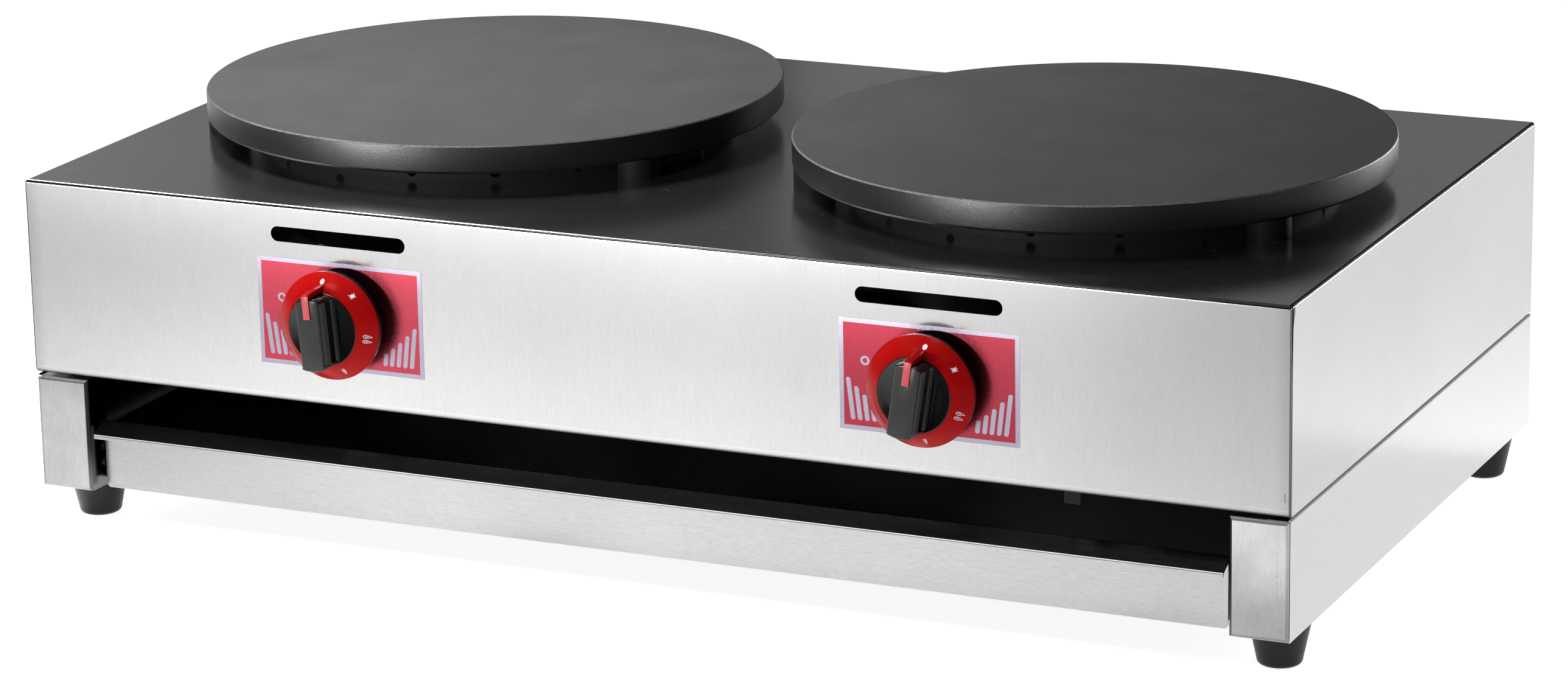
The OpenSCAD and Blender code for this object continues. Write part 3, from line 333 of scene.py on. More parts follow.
def front_shading(b, facing, spot):
    """Painted shade on the front: a dark band over its lower fold, its dimmer right end, its darker ends with
    a near-black line at the raw ends for the shaded seam, and one real nick.
    """
    ahead = b.range(facing[1], -0.3, -0.7, smooth=True)
    out = b.magnitude(spot[0])
    # painted shade: all of these but the nick, which is a real mark
    band = b.range(spot[2], (HOUSING_Z + 0.4) * MM, (HOUSING_Z + 3.8) * MM, 0.42, 1.0, smooth=True)
    right = b.range(spot[0], 200 * MM, 440 * MM, 1.0, 0.93, smooth=True)
    ends = b.range(out, (SIDE_X - 12) * MM, (SIDE_X - 1) * MM, 1.0, 0.84, smooth=True)
    raw = b.range(out, (SIDE_X - 1.0) * MM, (SIDE_X - 0.5) * MM, 1.0, 0.25, smooth=True)
    nick = b.times(b.near(spot[0], (SIDE_X - 3.2) * MM, 0.4 * MM),
                   b.near(spot[2], (HOUSING_Z + 13) * MM, 3 * MM))
    return b.mix(ahead, 1.0, b.times(band, right, ends, raw, b.fade(nick, 0.5)))


def open_seams(b, facing, spot):
    """1 on the shaded hems behind the front sheet's raw ends, widest at the top."""
    hem = b.range(spot[2], (TOP_Z - 16) * MM, (TOP_Z - 3) * MM, 3.6 * MM, 7.0 * MM, smooth=True)
    behind = b.math("SUBTRACT", spot[1], FRONT_Y * MM)
    return b.times(b.less(behind, hem), b.more(b.magnitude(facing[0]), 0.3))


def housing_steel():
    """One folded sheet: the grain runs upright on the front and the sides, and across the top."""
    made, b, shader, place = new_material("housing_steel", Metallic=1.0)
    upright, across = brushed(b, place, "z"), brushed(b, place, "x", Lines=1500.0)
    facing, spot = b.facing(), b.axes(place)
    top, flat = b.more(facing[2], 0.6), flatness(b, facing)
    cloud = b.use(CLOUD, Vector=place, Size=6.0, Low=0.95, High=1.04)[0]
    # painted light and shade by face: the sides are lifted above the front, and the upright faces take a
    # darker tone than the top
    flank_painted_light = b.range(b.magnitude(facing[0]), 0.3, 0.8, 1.0, 1.22)
    upright_tone = b.times(b.range(upright["Shade"], 0.0, 1.0, 0.362, 0.408), flank_painted_light)
    across_tone = b.range(across["Shade"], 0.0, 1.0, 0.6, 0.72)
    # painted shade on the folds, dimming their highlights, most on the high folds
    fold_painted_shade = b.mix(flat, b.range(spot[2], 150 * MM, 200 * MM, 0.45, 0.2), 1.0)
    shade = b.times(b.mix(top, upright_tone, across_tone), cloud, fold_painted_shade)
    scores = b.times(handling_scratches(b, place, spot, top), 0.8)
    marks = b.math("MAXIMUM", scribed_lines(b, place, spot, top), scores)
    # the front's painted shade, and the seams' shaded hems painted near black
    shade = b.times(b.plus(shade, b.times(marks, 0.2)), front_shading(b, facing, spot),
                    b.fade(open_seams(b, facing, spot), 0.05))
    dust = b.use(SPECKS, Vector=place, Cells=420.0, Share=0.22, Radius=0.11)[0]
    dust = b.times(dust, b.range(b.noise(place, 9.0, 3.0, 0.6), 0.42, 0.56), top)
    rough = b.mix(top, b.range(upright["Shade"], 0.0, 1.0, 0.19, 0.14),
                  b.range(across["Shade"], 0.0, 1.0, 0.22, 0.15))
    wire(b, shader, Base_Color=b.tint(dust, b.grey(shade, 0.995), DUST_GREY),
         Metallic=b.math("SUBTRACT", 1.0, dust), Roughness=rough)
    bump(b, shader, b.times(b.mix(top, upright["Height"], across["Height"]), flat), GRAIN_DEPTH)
    return made


def base_side_steel():
    """The side sheets of the base: the grain runs up the posts and along the sides, and the faces inside are
    painted dark as shade.
    """
    made, b, shader, place = new_material("base_side_steel", Metallic=1.0)
    upright, lengthwise = brushed(b, place, "z"), brushed(b, place, "y")
    facing, spot = b.facing(), b.axes(place)
    front, flat = b.range(facing[1], -0.9, -0.3, 1.0, 0.0), flatness(b, facing)
    on_right = b.more(spot[0], 0.0)
    # the broad cloud is uneven tone and also a painted reflection, the posts' cloudy reflections
    cloud = b.use(CLOUD, Vector=place, Size=20.0, Low=0.84, High=1.1)[0]
    # painted shade: the right post darker towards its foot, the left post darker all over
    right_post_shade = b.range(spot[2], 34 * MM, 98 * MM, 0.6, 1.06, smooth=True)
    # a row of nicks where the right post was scribed
    nicks = b.times(b.near(b.magnitude(spot[0]), (SIDE_X - 8.0) * MM, 0.3 * MM),
                    b.range(b.noise(place, 420.0, 2.0, 0.6), 0.47, 0.52, smooth=True),
                    b.range(spot[2], 48 * MM, 60 * MM, smooth=True), on_right)
    # painted light and shade by face: the posts take a darker tone than the sides
    post_tone = b.times(b.range(upright["Shade"], 0.0, 1.0, 0.38, 0.46), cloud,
                        b.mix(on_right, 0.62, right_post_shade), b.fade(nicks, 0.72))
    shade = b.mix(front, b.range(lengthwise["Shade"], 0.0, 1.0, 0.51, 0.54), post_tone)
    # painted shade: the faces that look into the base are painted dark, least so at the foot of the posts
    inward = b.less(b.times(facing[0], spot[0]), -0.1)
    inward_shade = b.range(spot[2], 24 * MM, 62 * MM, 0.42, 0.06, smooth=True)
    inward_shade = b.mix(b.less(spot[1], (FRONT_Y + 24.0) * MM), 0.04, inward_shade)
    shade = b.mix(inward, shade, b.times(shade, inward_shade))
    grain = b.mix(front, lengthwise["Shade"], upright["Shade"])
    rough = b.plus(b.range(grain, 0.0, 1.0, 0.24, 0.16), b.range(flat, 0.0, 1.0, 0.3, 0.0))
    wire(b, shader, Base_Color=b.grey(shade), Roughness=rough)
    bump(b, shader, b.times(b.mix(front, lengthwise["Height"], upright["Height"]), flat), GRAIN_DEPTH)
    return made


def bowl_steel():
    """Sheet with straw and copper heat tints along its rim and near black below them, which is painted shade
    inside the cabinet.
    """
    made, b, shader, place = new_material("bowl_steel", Metallic=0.9)
    stain = b.noise(place, 60.0, 4.0, 0.6)
    level = b.plus(b.axes(place)[2], b.times(b.math("SUBTRACT", stain, 0.5), 4 * MM))
    # painted shade: near black low down, with the heat tints at the top
    tint = b.ramp(b.range(level, (TOP_Z - 20) * MM, TOP_Z * MM),
                  [(0.0, (0.012, 0.011, 0.012)), (0.2, (0.016, 0.012, 0.012)), (0.32, (0.3, 0.12, 0.05)),
                   (0.6, (0.5, 0.3, 0.16)), (1.0, (0.42, 0.3, 0.2))])
    wire(b, shader, Base_Color=tint, Roughness=b.range(stain, 0.3, 0.7, 0.45, 0.25))
    bump(b, shader, stain, STAIN_DEPTH)
    return made


def scaled(tone, factor):
    return tuple(min(1.0, part * factor) for part in tone)


def label_film(name, tone, rough=0.28, speckle=0.07):
    """Printed metallic film: a sparkle of fine flakes on a slightly uneven tone."""
    made, b, shader, place = new_material(name, Metallic=1.0)
    flakes = b.noise(place, 1700.0, 2.0, 0.8)
    ripple = b.use(CLOUD, Vector=place, Size=22.0, Low=0.95, High=1.05)[0]
    factor = b.math("MULTIPLY", b.range(flakes, 0.3, 0.7), ripple, clamp=True)
    wire(b, shader, Base_Color=b.tint(factor, scaled(tone, 1 - speckle), scaled(tone, 1 + speckle)),
         Roughness=b.range(flakes, 0.3, 0.7, rough + 0.05, rough - 0.05))
    bump(b, shader, flakes, 0.003 * MM)
    return made


def griddle_iron(name, tone, rough, specular):
    """Seasoned cast iron: a mottled dark skin over fine sand grains."""
    made, b, shader, place = new_material(name, Specular_IOR_Level=specular)
    mottle = b.use(CLOUD, Vector=place, Size=30.0, Low=0.86, High=1.12)[0]
    broad = b.use(CLOUD, Vector=place, Size=6.0, Low=0.88, High=1.08)[0]
    sand = b.noise(place, 1100.0, 3.0, 0.65)
    shade = b.times(mottle, broad, tone, b.range(sand, 0.3, 0.7, 0.8, 1.2))
    wire(b, shader, Base_Color=b.grey(shade), Roughness=b.range(sand, 0.3, 0.7, rough + 0.06, rough - 0.06))
    bump(b, shader, sand, SAND_DEPTH)
    return made


def plain_finish(name, tone, rough, metallic=0.0, grain=1500.0, depth=0.02, variety=0.1, **more):
    """Moulded, plated or cast surfaces: a base tone, slight unevenness and a fine grain, its depth in mm."""
    made, b, shader, place = new_material(name, Metallic=metallic, **more)
    fine = b.noise(place, grain, 3.0, 0.6)
    cloud = b.use(CLOUD, Vector=place, Size=40.0, Low=1 - variety, High=1 + variety)[0]
    factor = b.math("MULTIPLY", b.range(fine, 0.3, 0.7), cloud, clamp=True)
    wire(b, shader, Base_Color=b.tint(factor, scaled(tone, 1 - variety), scaled(tone, 1 + variety)),
         Roughness=b.range(fine, 0.3, 0.7, rough * 1.12, rough * 0.9))
    bump(b, shader, fine, depth * MM)
    return made


# ---- Mesh building -------------------------------------------------------------------------
UPRIGHT = Matrix.Rotation(math.radians(90), 4, "X")     # stands up what is drawn lying flat


def finished(bm, name, body, materials, smooth=True, angle=32.0):
    """Turns a bmesh that is drawn in millimetres into a piece that rides on a body."""
    bmesh.ops.scale(bm, vec=(MM, MM, MM), verts=bm.verts)
    mesh = bpy.data.meshes.new(name)
    bm.to_mesh(mesh)
    bm.free()
    piece = bpy.data.objects.new(name, mesh)
    bpy.context.scene.collection.objects.link(piece)
    for material in materials:
        mesh.materials.append(material)
    if smooth:
        mesh.shade_smooth()
        mesh.set_sharp_from_angle(angle=math.radians(angle))
    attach(piece, body)
    return piece


def spun(profile, steps):
    """Turns an open profile of (radius, height) points about Z. Points on the axis close it."""
    bm = bmesh.new()
    line = [bm.verts.new((r, 0, z)) for r, z in profile]
    edges = [bm.edges.new(pair) for pair in zip(line, line[1:])]
    bmesh.ops.spin(bm, geom=line + edges, cent=(0, 0, 0), axis=(0, 0, 1), dvec=(0, 0, 0), angle=TURN,
                   steps=steps, use_merge=True, use_normal_flip=False, use_duplicate=False)
    bmesh.ops.remove_doubles(bm, verts=bm.verts, dist=1e-4)
    bmesh.ops.recalc_face_normals(bm, faces=bm.faces)
    return bm


def eased(bm, width, sharper=28.0):
    """Breaks every edge that is sharper than an angle."""
    edges = [e for e in bm.edges if len(e.link_faces) == 2 and e.calc_face_angle(0) > math.radians(sharper)]
    bmesh.ops.bevel(bm, geom=edges, offset=width, offset_type="OFFSET", segments=2, profile=0.5,
                    affect="EDGES", clamp_overlap=True, material=-1)


def drawn_out(bm, faces):
    """Extrudes faces in place and gives the faces and the corners of the new end."""
    grown = bmesh.ops.extrude_face_region(bm, geom=faces)["geom"]
    return ([g for g in grown if isinstance(g, bmesh.types.BMFace)],
            [g for g in grown if isinstance(g, bmesh.types.BMVert)])


def moved(bm, matrix, verts=None):
    bmesh.ops.transform(bm, matrix=matrix, space=Matrix.Identity(4), verts=verts or bm.verts)


def at(x, y, z):
    return Matrix.Translation((x, y, z))


def traced(curve):
    """A bmesh of the surface that a curve or a text draws."""
    draft = bpy.data.objects.new(curve.name + "_draft", curve)
    bm = bmesh.new()
    bm.from_mesh(draft.to_mesh())
    bpy.data.objects.remove(draft)
    return bm


def dress(node, material):
    """Gives a CAD node that stays its finish."""
    NODES[node].data.materials.clear()
    NODES[node].data.materials.append(material)


# ---- Finishes ------------------------------------------------------------------------------
STEEL_HOUSING = housing_steel()
STEEL_SIDES = base_side_steel()
STEEL_LONG = sheet_steel("base_steel", 0.38)
TRAY_STEEL = sheet_steel("tray_steel", 0.33, tray_painted_shading)
# near black: partly their blackening, partly painted shade under the plates
RING_STEEL = plain_finish("ring_steel", (0.0026, 0.0024, 0.0024), 0.65, grain=900.0, variety=0.3,
                          Specular_IOR_Level=0.04)
STUD_IRON = plain_finish("stud_iron", (0.0018, 0.0018, 0.0018), 0.65, grain=900.0, variety=0.3,
                         Specular_IOR_Level=0.03)
IRON = griddle_iron("griddle_iron", 0.04, 0.5, 0.55)
# the rim and underside take a far darker tone than the cooking face: partly their dark coating, partly
# painted shade
RIM_IRON = griddle_iron("griddle_rim", 0.0015, 0.33, 0.22)
# the chamfer between cooking face and rim is painted lighter as a highlight line
EDGE_PAINTED_HIGHLIGHT = plain_finish("edge_painted_highlight", (0.04, 0.04, 0.04), 0.55, grain=500.0, variety=0.5,
                         Specular_IOR_Level=0.16)
BURNER_IRON = plain_finish("burner_iron", (0.05, 0.05, 0.05), 0.7, metallic=0.3, grain=900.0, depth=0.2,
                           variety=0.3)
TINTED_AND_SHADED = bowl_steel()
PLATED = plain_finish("zinc_plating", (0.5, 0.5, 0.49), 0.35, metallic=1.0, variety=0.15)
BRASS = plain_finish("machined_brass", (0.62, 0.44, 0.17), 0.25, metallic=1.0, variety=0.12)
SHADED_STEEL = plain_finish("shaded_steel", (0.06, 0.058, 0.056), 0.4, metallic=0.8, grain=900.0, variety=0.3)
# painted shade: near black on the tray runners and the pipe hanger, which lie in shade
PAINTED_SHADE_STEEL = plain_finish("painted_shade_steel", (0.012, 0.0115, 0.011), 0.5, grain=700.0, variety=0.4,
                           Specular_IOR_Level=0.12)
RUBBER = plain_finish("foot_rubber", (0.004, 0.004, 0.004), 0.4, grain=2000.0, depth=0.04, variety=0.3,
                      Specular_IOR_Level=0.25)
BLACK_PLASTIC = plain_finish("knob_black", (0.005, 0.005, 0.0052), 0.22, grain=2600.0, depth=0.006,
                             variety=0.15, Specular_IOR_Level=0.36)
RED_PLASTIC = plain_finish("knob_red", (0.262, 0.003, 0.003), 0.2, grain=2600.0, depth=0.004, variety=0.05,
                           Specular_Tint=(1.0, 0.25, 0.22), IOR=1.2)
POINTER_PINK = plain_finish("pointer_face", (0.38, 0.024, 0.036), 0.35, grain=2600.0, depth=0.004,
                            variety=0.08)
MARK_INK = plain_finish("mark_ink", (0.62, 0.57, 0.66), 0.5)
LABEL_BORDER = label_film("label_silver", (0.275, 0.255, 0.315), 0.3, 0.05)
# the right label's red is the left one's, darkened as painted shade
LABEL_REDS = {"left": label_film("label_red", (0.32, 0.042, 0.061)),
              "right": label_film("label_red_shaded", (0.25, 0.03, 0.046))}
CERAMIC = plain_finish("ceramic_white", (0.8, 0.77, 0.7), 0.3)
LEAD = plain_finish("lead_sleeve", (0.45, 0.05, 0.03), 0.45)

# ---- Cabinet -------------------------------------------------------------------------------
CABINET_FINISHES = {
    "top_housing": STEEL_HOUSING, "rear_panel": STEEL_HOUSING,
    "base_side_left": STEEL_SIDES, "base_side_right": STEEL_SIDES, "base_back": STEEL_LONG,
    "crumb_tray": TRAY_STEEL, "tray_runner_left": PAINTED_SHADE_STEEL, "tray_runner_right": PAINTED_SHADE_STEEL,
    "foot_front_left": RUBBER, "foot_front_right": RUBBER, "foot_rear_left": RUBBER,
    "foot_rear_right": RUBBER, "foot_bolts": PLATED, "seam_spacers": BLACK_PLASTIC,
    "joining_screws": PLATED, "rear_panel_screws": PLATED, "base_rivets": SHADED_STEEL,
    "gas_pipe": PLATED, "gas_pipe_plug": BRASS, "gas_inlet": BRASS, "inlet_locknut": BRASS,
    "pipe_hanger": PAINTED_SHADE_STEEL}
BURNER_FINISHES = {
    "_plate_studs": STUD_IRON, "_vent_ring": RING_STEEL, "_burner_bowl": TINTED_AND_SHADED,
    "_burner": BURNER_IRON, "_burner_bracket": PLATED, "_mixer_tube": PLATED,
    "_gas_jet": BRASS, "_gas_valve": BRASS, "_valve_clamp": PLATED, "_valve_spindle": PLATED,
    "_spring_washer": PLATED, "_knob_spring": PLATED, "_spark_electrode": CERAMIC,
    "_ignition_lead": LEAD}
for node, finish in CABINET_FINISHES.items():
    dress(node, finish)
for side in SIDES:
    for tail, finish in BURNER_FINISHES.items():
        dress(side + tail, finish)

# ---- Plates --------------------------------------------------------------------------------
PLATE_STEPS = 256
HOLLOW_R, HOLLOW_T = 164.0, 3.0
for side, s in SIDES.items():
    bm = spun([(0, HOLLOW_T), (HOLLOW_R, HOLLOW_T), (HOLLOW_R + HOLLOW_T, 0), (PLATE_R - 2, 0),
               (PLATE_R - 0.15, 1.9), (PLATE_R, 2.6), (PLATE_R, PLATE_T - 1.0),
               (PLATE_R - 0.25, PLATE_T - 0.45), (PLATE_R - 0.9, PLATE_T),
               (PLATE_R - 40, PLATE_T), (PLATE_R - 100, PLATE_T), (0, PLATE_T)], PLATE_STEPS)
    moved(bm, at(s * PLATE_X, 0, PLATE_Z))
    for face in bm.faces:
        # the cooking face, the edge around it with its painted highlight, and the rim with the underside,
        # painted darker partly as shade
        face.material_index = 0 if face.normal.z > 0.9 else 2 if face.normal.z > 0.3 else 1
    piece = finished(bm, side + "_plate_turned", side + "_plate_unit", [IRON, RIM_IRON, EDGE_PAINTED_HIGHLIGHT],
                     angle=20)
    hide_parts(side + "_plate")

# ---- Knobs ---------------------------------------------------------------------------------
KNOB_STEPS = 128
POINTER_W = 5.0
FLAME_STEPS, FLAME_LEAN = 20, 0.2
DOT_STEPS, DOT_R = 24, 1.55
OFF_AT, SPARK_AT, HIGH_AT, LOW_AT = 2, 46, 103, 160     # the marks, in degrees from the pointer
SPARK = [2.7, 1.0, 1.9, 0.85, 2.3, 0.9, 1.8, 1.0, 2.9, 1.0, 1.7, 0.9, 2.1, 0.85, 1.9, 1.0]


def knob_place(side):
    """Takes a shape drawn along +Z with +Y up to a knob's axis on the front."""
    return (at(SIDES[side] * CONTROL_X, FRONT_Y, KNOB_Z) @ UPRIGHT
            @ Matrix.Rotation(math.radians(KNOB_TURN[side]), 4, "Z"))


def cone_height(r):
    return SKIRT_EDGE + (DISC_EDGE - SKIRT_EDGE) * (SKIRT_R - r) / (SKIRT_R - DISC_R)


def knob_skirt(side):
    """The red cone around the disc."""
    inner, half_way = DISC_R + 0.1, (DISC_R + SKIRT_R) / 2
    bm = spun([(SKIRT_R - 1.0, SKIRT_EDGE - 1.0), (SKIRT_R - 0.15, SKIRT_EDGE - 0.95),
               (SKIRT_R, SKIRT_EDGE - 0.7), (SKIRT_R, SKIRT_EDGE - 0.25), (SKIRT_R - 0.3, SKIRT_EDGE + 0.15),
               (half_way, cone_height(half_way)), (inner + 0.25, cone_height(inner + 0.25)),
               (inner, DISC_EDGE - 0.25), (inner, DISC_EDGE - 1.9), (SKIRT_R - 1.0, SKIRT_EDGE - 1.0)],
              KNOB_STEPS)
    moved(bm, knob_place(side))
    piece = finished(bm, side + "_knob_cone", side + "_knob", [RED_PLASTIC])
    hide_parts(side + "_knob_skirt")


def knob_disc(side):
    """The black moulding's hub, flange and dished disc."""
    bm = spun([(0, 4.1), (11.6, 4.1), (12, 4.5), (12, 9.5), (SKIRT_R - 1.2, 9.5), (SKIRT_R - 0.6, 10.1),
               (SKIRT_R - 0.6, SKIRT_EDGE - 1.1), (SKIRT_R - 1.2, SKIRT_EDGE - 1.1),
               (DISC_R - 0.1, DISC_EDGE - 2.0), (DISC_R - 0.1, DISC_EDGE - 0.2), (DISC_R - 0.35, DISC_EDGE),
               (DISC_R - 0.9, DISC_EDGE - 0.1), (DISC_R - 3.5, DISC_EDGE - 1.5),
               (DISC_R - 8, DISC_EDGE - 2.6), (0, DISC_EDGE - 3)], KNOB_STEPS)
    moved(bm, knob_place(side))
    return finished(bm, side + "_knob_disc", side + "_knob", [BLACK_PLASTIC])


def knob_bar(side):
    """The bar to grip: an outline with arc ends, drawn out level by level with sides that draw in."""
    bm = bmesh.new()
    reach = DISC_R - 0.6
    levels = [(DISC_EDGE - 4.0, 12.2), (DISC_EDGE - 2.6, 11.2), (DISC_EDGE - 1.2, 10.45),
              (DISC_EDGE + 0.6, 10.0), (DISC_EDGE + 5, 9.5), (GRIP_TOP - 6, 8.75),
              (GRIP_TOP - 0.7, 8.15), (GRIP_TOP, 7.5)]
    for v in bmesh.ops.create_circle(bm, cap_ends=True, radius=reach, segments=72)["verts"]:
        v.co.z = levels[0][0]
    cap = list(bm.faces)
    for z, _ in levels[1:]:
        cap, ring = drawn_out(bm, cap)
        bmesh.ops.translate(bm, vec=(0, 0, z - ring[0].co.z), verts=ring)
    for v in bm.verts:
        low = max(k for k, (z, _) in enumerate(levels) if z <= v.co.z + 1e-4)
        half = levels[low][1]
        if abs(v.co.x) > half:
            v.co.x = math.copysign(half, v.co.x)
        if v.co.z > GRIP_TOP - 0.1:
            v.co.y *= 1 - 0.6 / reach
    bmesh.ops.remove_doubles(bm, verts=bm.verts, dist=0.01)
    bmesh.ops.recalc_face_normals(bm, faces=bm.faces)
    eased(bm, 0.3, sharper=45.0)
    moved(bm, knob_place(side))
    return finished(bm, side + "_knob_bar", side + "_knob", [BLACK_PLASTIC], angle=40)


def knob_pointer(side):
    """A red strip over the grip's upper end, drawn as its side view and thickened."""
    tip_r = DISC_R + 4.4
    bm = bmesh.new()
    outline = [(DISC_R - 13.8, GRIP_TOP + 0.1), (DISC_R - 13.8, GRIP_TOP + 0.9),
               (DISC_R + 1.9, GRIP_TOP + 0.9), (DISC_R + 2.6, GRIP_TOP + 0.2),
               (tip_r, cone_height(tip_r) + 0.1), (DISC_R + 0.15, DISC_EDGE + 0.1),
               (DISC_R - 0.3, DISC_EDGE + 0.8), (DISC_R - 0.3, GRIP_TOP + 0.1)]
    face = bm.faces.new([bm.verts.new((-POINTER_W / 2, y, z)) for y, z in outline])
    _, far_side = drawn_out(bm, [face])
    bmesh.ops.translate(bm, vec=(POINTER_W, 0, 0), verts=far_side)
    bmesh.ops.recalc_face_normals(bm, faces=bm.faces)
    eased(bm, 0.22)
    for face in bm.faces:
        face.material_index = 1 if face.normal.z > 0.9 else 0
    moved(bm, knob_place(side))
    piece = finished(bm, side + "_knob_strip", side + "_knob", [RED_PLASTIC, POINTER_PINK])
    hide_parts(side + "_knob_pointer")


def on_cone(angle, u, v, lift=0.04):
    """A point u across and v outwards of the marks' circle, at an angle clockwise from the pointer."""
    r = MARKS_R + v
    a = math.radians(angle) + u / r
    return (r * math.sin(a), r * math.cos(a), cone_height(r) + lift)


def inked(bm, side, name):
    moved(bm, knob_place(side))
    finished(bm, side + name, side + "_knob", [MARK_INK])


def filled_mark(side, name, angle, outline):
    """A filled mark, its middle raised a little so that the cone doesn't cut through it."""
    bm = bmesh.new()
    bmesh.ops.create_circle(bm, cap_ends=True, cap_tris=True, radius=1.0, segments=len(outline))
    ring = sorted((v for v in bm.verts if v.co.length > 0.5), key=lambda v: math.atan2(v.co.y, v.co.x) % TURN)
    for v, (u, w) in zip(ring, outline):
        v.co = on_cone(angle, u, w)
    for v in bm.verts:
        if v not in ring:
            v.co = on_cone(angle, 0, 0, 0.06)
    bmesh.ops.recalc_face_normals(bm, faces=bm.faces)
    inked(bm, side, name)


def drawn_mark(side, name, angle, path, width=0.22):
    """A closed mark drawn as a fine raised line."""
    curve = bpy.data.curves.new(side + name, "CURVE")
    curve.dimensions = "3D"
    line = curve.splines.new("POLY")
    line.points.add(len(path) - 1)
    for point, (u, w) in zip(line.points, path):
        point.co = (*on_cone(angle, u, w), 1)
    line.use_cyclic_u = True
    curve.bevel_depth = width
    curve.bevel_resolution = 1
    inked(traced(curve), side, name)


def flame(size, across=0.0, sunk=0.0):
    """Outline of a flame: round below, drawn to a leaning point above."""
    points = []
    for k in range(FLAME_STEPS):
        t = TURN * k / FLAME_STEPS
        width = 0.5 * math.sin(t) * math.sin(t / 2) ** 1.5
        lean = FLAME_LEAN * (1 + math.cos(t)) / 2
        points.append((across + size * (width + lean), size * 0.8 * math.cos(t) - sunk))
    return points


def rays(reach, start=0.0):
    """Points around a middle, each at its own reach."""
    return [(r * math.cos(TURN * k / len(reach) + start), r * math.sin(TURN * k / len(reach) + start))
            for k, r in enumerate(reach)]


def knob_marks(side):
    """Clockwise from the pointer: a dot, a spark, a pair of large flames and a small one."""
    filled_mark(side, "_dot_mark", OFF_AT, rays([DOT_R] * DOT_STEPS))
    filled_mark(side, "_spark_mark", SPARK_AT, rays(SPARK, 0.5))
    for k, across in enumerate((-1.7, 1.7)):
        drawn_mark(side, "_high_flame_%d" % k, HIGH_AT, flame(3.0, across))
        drawn_mark(side, "_high_core_%d" % k, HIGH_AT, flame(1.2, across, 0.5), 0.16)
    drawn_mark(side, "_low_flame", LOW_AT, flame(2.6))
    drawn_mark(side, "_low_core", LOW_AT, flame(1.0, 0.0, 0.4), 0.14)


for side in SIDES:
    knob_skirt(side)
    disc, bar = knob_disc(side), knob_bar(side)
    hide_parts(side + "_knob_grip")
    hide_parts(side + "_knob_grip")
    knob_pointer(side)
    knob_marks(side)

# ---- Knob springs --------------------------------------------------------------------------
WIRE_R, COILS, COIL_STEPS = 0.5, 6, 144
for side, s in SIDES.items():
    low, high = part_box(side + "_knob_spring")
    coil_r = (high.x - low.x) / 2 / MM - WIRE_R
    length = (high.y - low.y) / MM - 2 * WIRE_R
    step = at(0, 0, length / COIL_STEPS) @ Matrix.Rotation(TURN * COILS / COIL_STEPS, 4, "Z")
    bm = bmesh.new()
    ring = bmesh.ops.create_circle(bm, cap_ends=True, radius=WIRE_R, segments=10)["verts"]
    moved(bm, at(coil_r, 0, 0) @ UPRIGHT, ring)
    tip = list(bm.faces)
    for _ in range(COIL_STEPS):
        tip, ring = drawn_out(bm, tip)
        moved(bm, step, ring)
    bmesh.ops.recalc_face_normals(bm, faces=bm.faces)
    moved(bm, at(s * CONTROL_X, low.y / MM + WIRE_R, KNOB_Z) @ Matrix.Rotation(math.radians(-90), 4, "X"))
    piece = finished(bm, side + "_spring_coil", "cabinet", [PLATED])
    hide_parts(side + "_knob_spring")
    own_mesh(piece)

# ---- Dial labels ---------------------------------------------------------------------------
LABEL_T, FIELD_T, BORDER_W = 0.2, 0.05, 3.0
FIELD_OUT, PRINT_OUT, SPOT_OUT = 0.215, 0.25, 0.26      # how far each lies ahead of the cabinet's front
DISC_AT, WORD_AT = (-43.5, 9.5), (3, 28.2)              # across and up from the label's middle
PRINT_DISC_R, PRINT_SPOT_R, WORD_SIZE = 3.1, 1.7, 5.4
BAR_HEIGHTS = (5.5, 9.5, 14.0, 19.0, 24.5)
BAR_R, BAR_START, BAR_PITCH, BAR_LEAN, BAR_FOOT = 1.6, 32.6, 4.9, 0.12, -28.5


def label_sheet(name, side, middle, size, out, material):
    """A thin sheet of a label, its middle out in front of the cabinet's front."""
    bm = bmesh.new()
    bmesh.ops.create_cube(bm, size=1.0)
    bmesh.ops.scale(bm, vec=size, verts=bm.verts)
    moved(bm, at(middle[0], FRONT_Y - out, middle[1]))
    return finished(bm, side + name, "cabinet", [material])


def label_print(bm, name, side, middle, out, material, offset=(0.0, 0.0)):
    """Stands a flat drawing up on a label, at an offset from the label's middle."""
    moved(bm, at(middle[0] + offset[0], FRONT_Y - out, middle[1] + offset[1]) @ UPRIGHT)
    return finished(bm, side + name, "cabinet", [material], smooth=False)


def label_bars():
    """Rising bars with round tops in both lower corners, and a disc on the left."""
    bm = bmesh.new()
    for way in (-1, 1):
        for k, tall in enumerate(BAR_HEIGHTS):
            for v in bmesh.ops.create_circle(bm, cap_ends=True, radius=BAR_R, segments=20)["verts"]:
                v.co.y += tall if v.co.y > 0 else 0
                v.co.x += way * (BAR_START + BAR_PITCH * k + BAR_LEAN * v.co.y)
                v.co.y += BAR_FOOT
    disc = bmesh.ops.create_circle(bm, cap_ends=True, radius=PRINT_DISC_R, segments=32)["verts"]
    bmesh.ops.translate(bm, vec=(*DISC_AT, 0), verts=disc)
    return bm


def label_spot():
    """The middle of the disc, which leaves it a ring."""
    bm = bmesh.new()
    bmesh.ops.create_circle(bm, cap_ends=True, radius=PRINT_SPOT_R, segments=32)
    return bm


def label_word(side):
    word = bpy.data.curves.new(side + "_off", "FONT")
    word.body = "OFF"
    word.size = WORD_SIZE
    word.align_x = "CENTER"
    return traced(word)


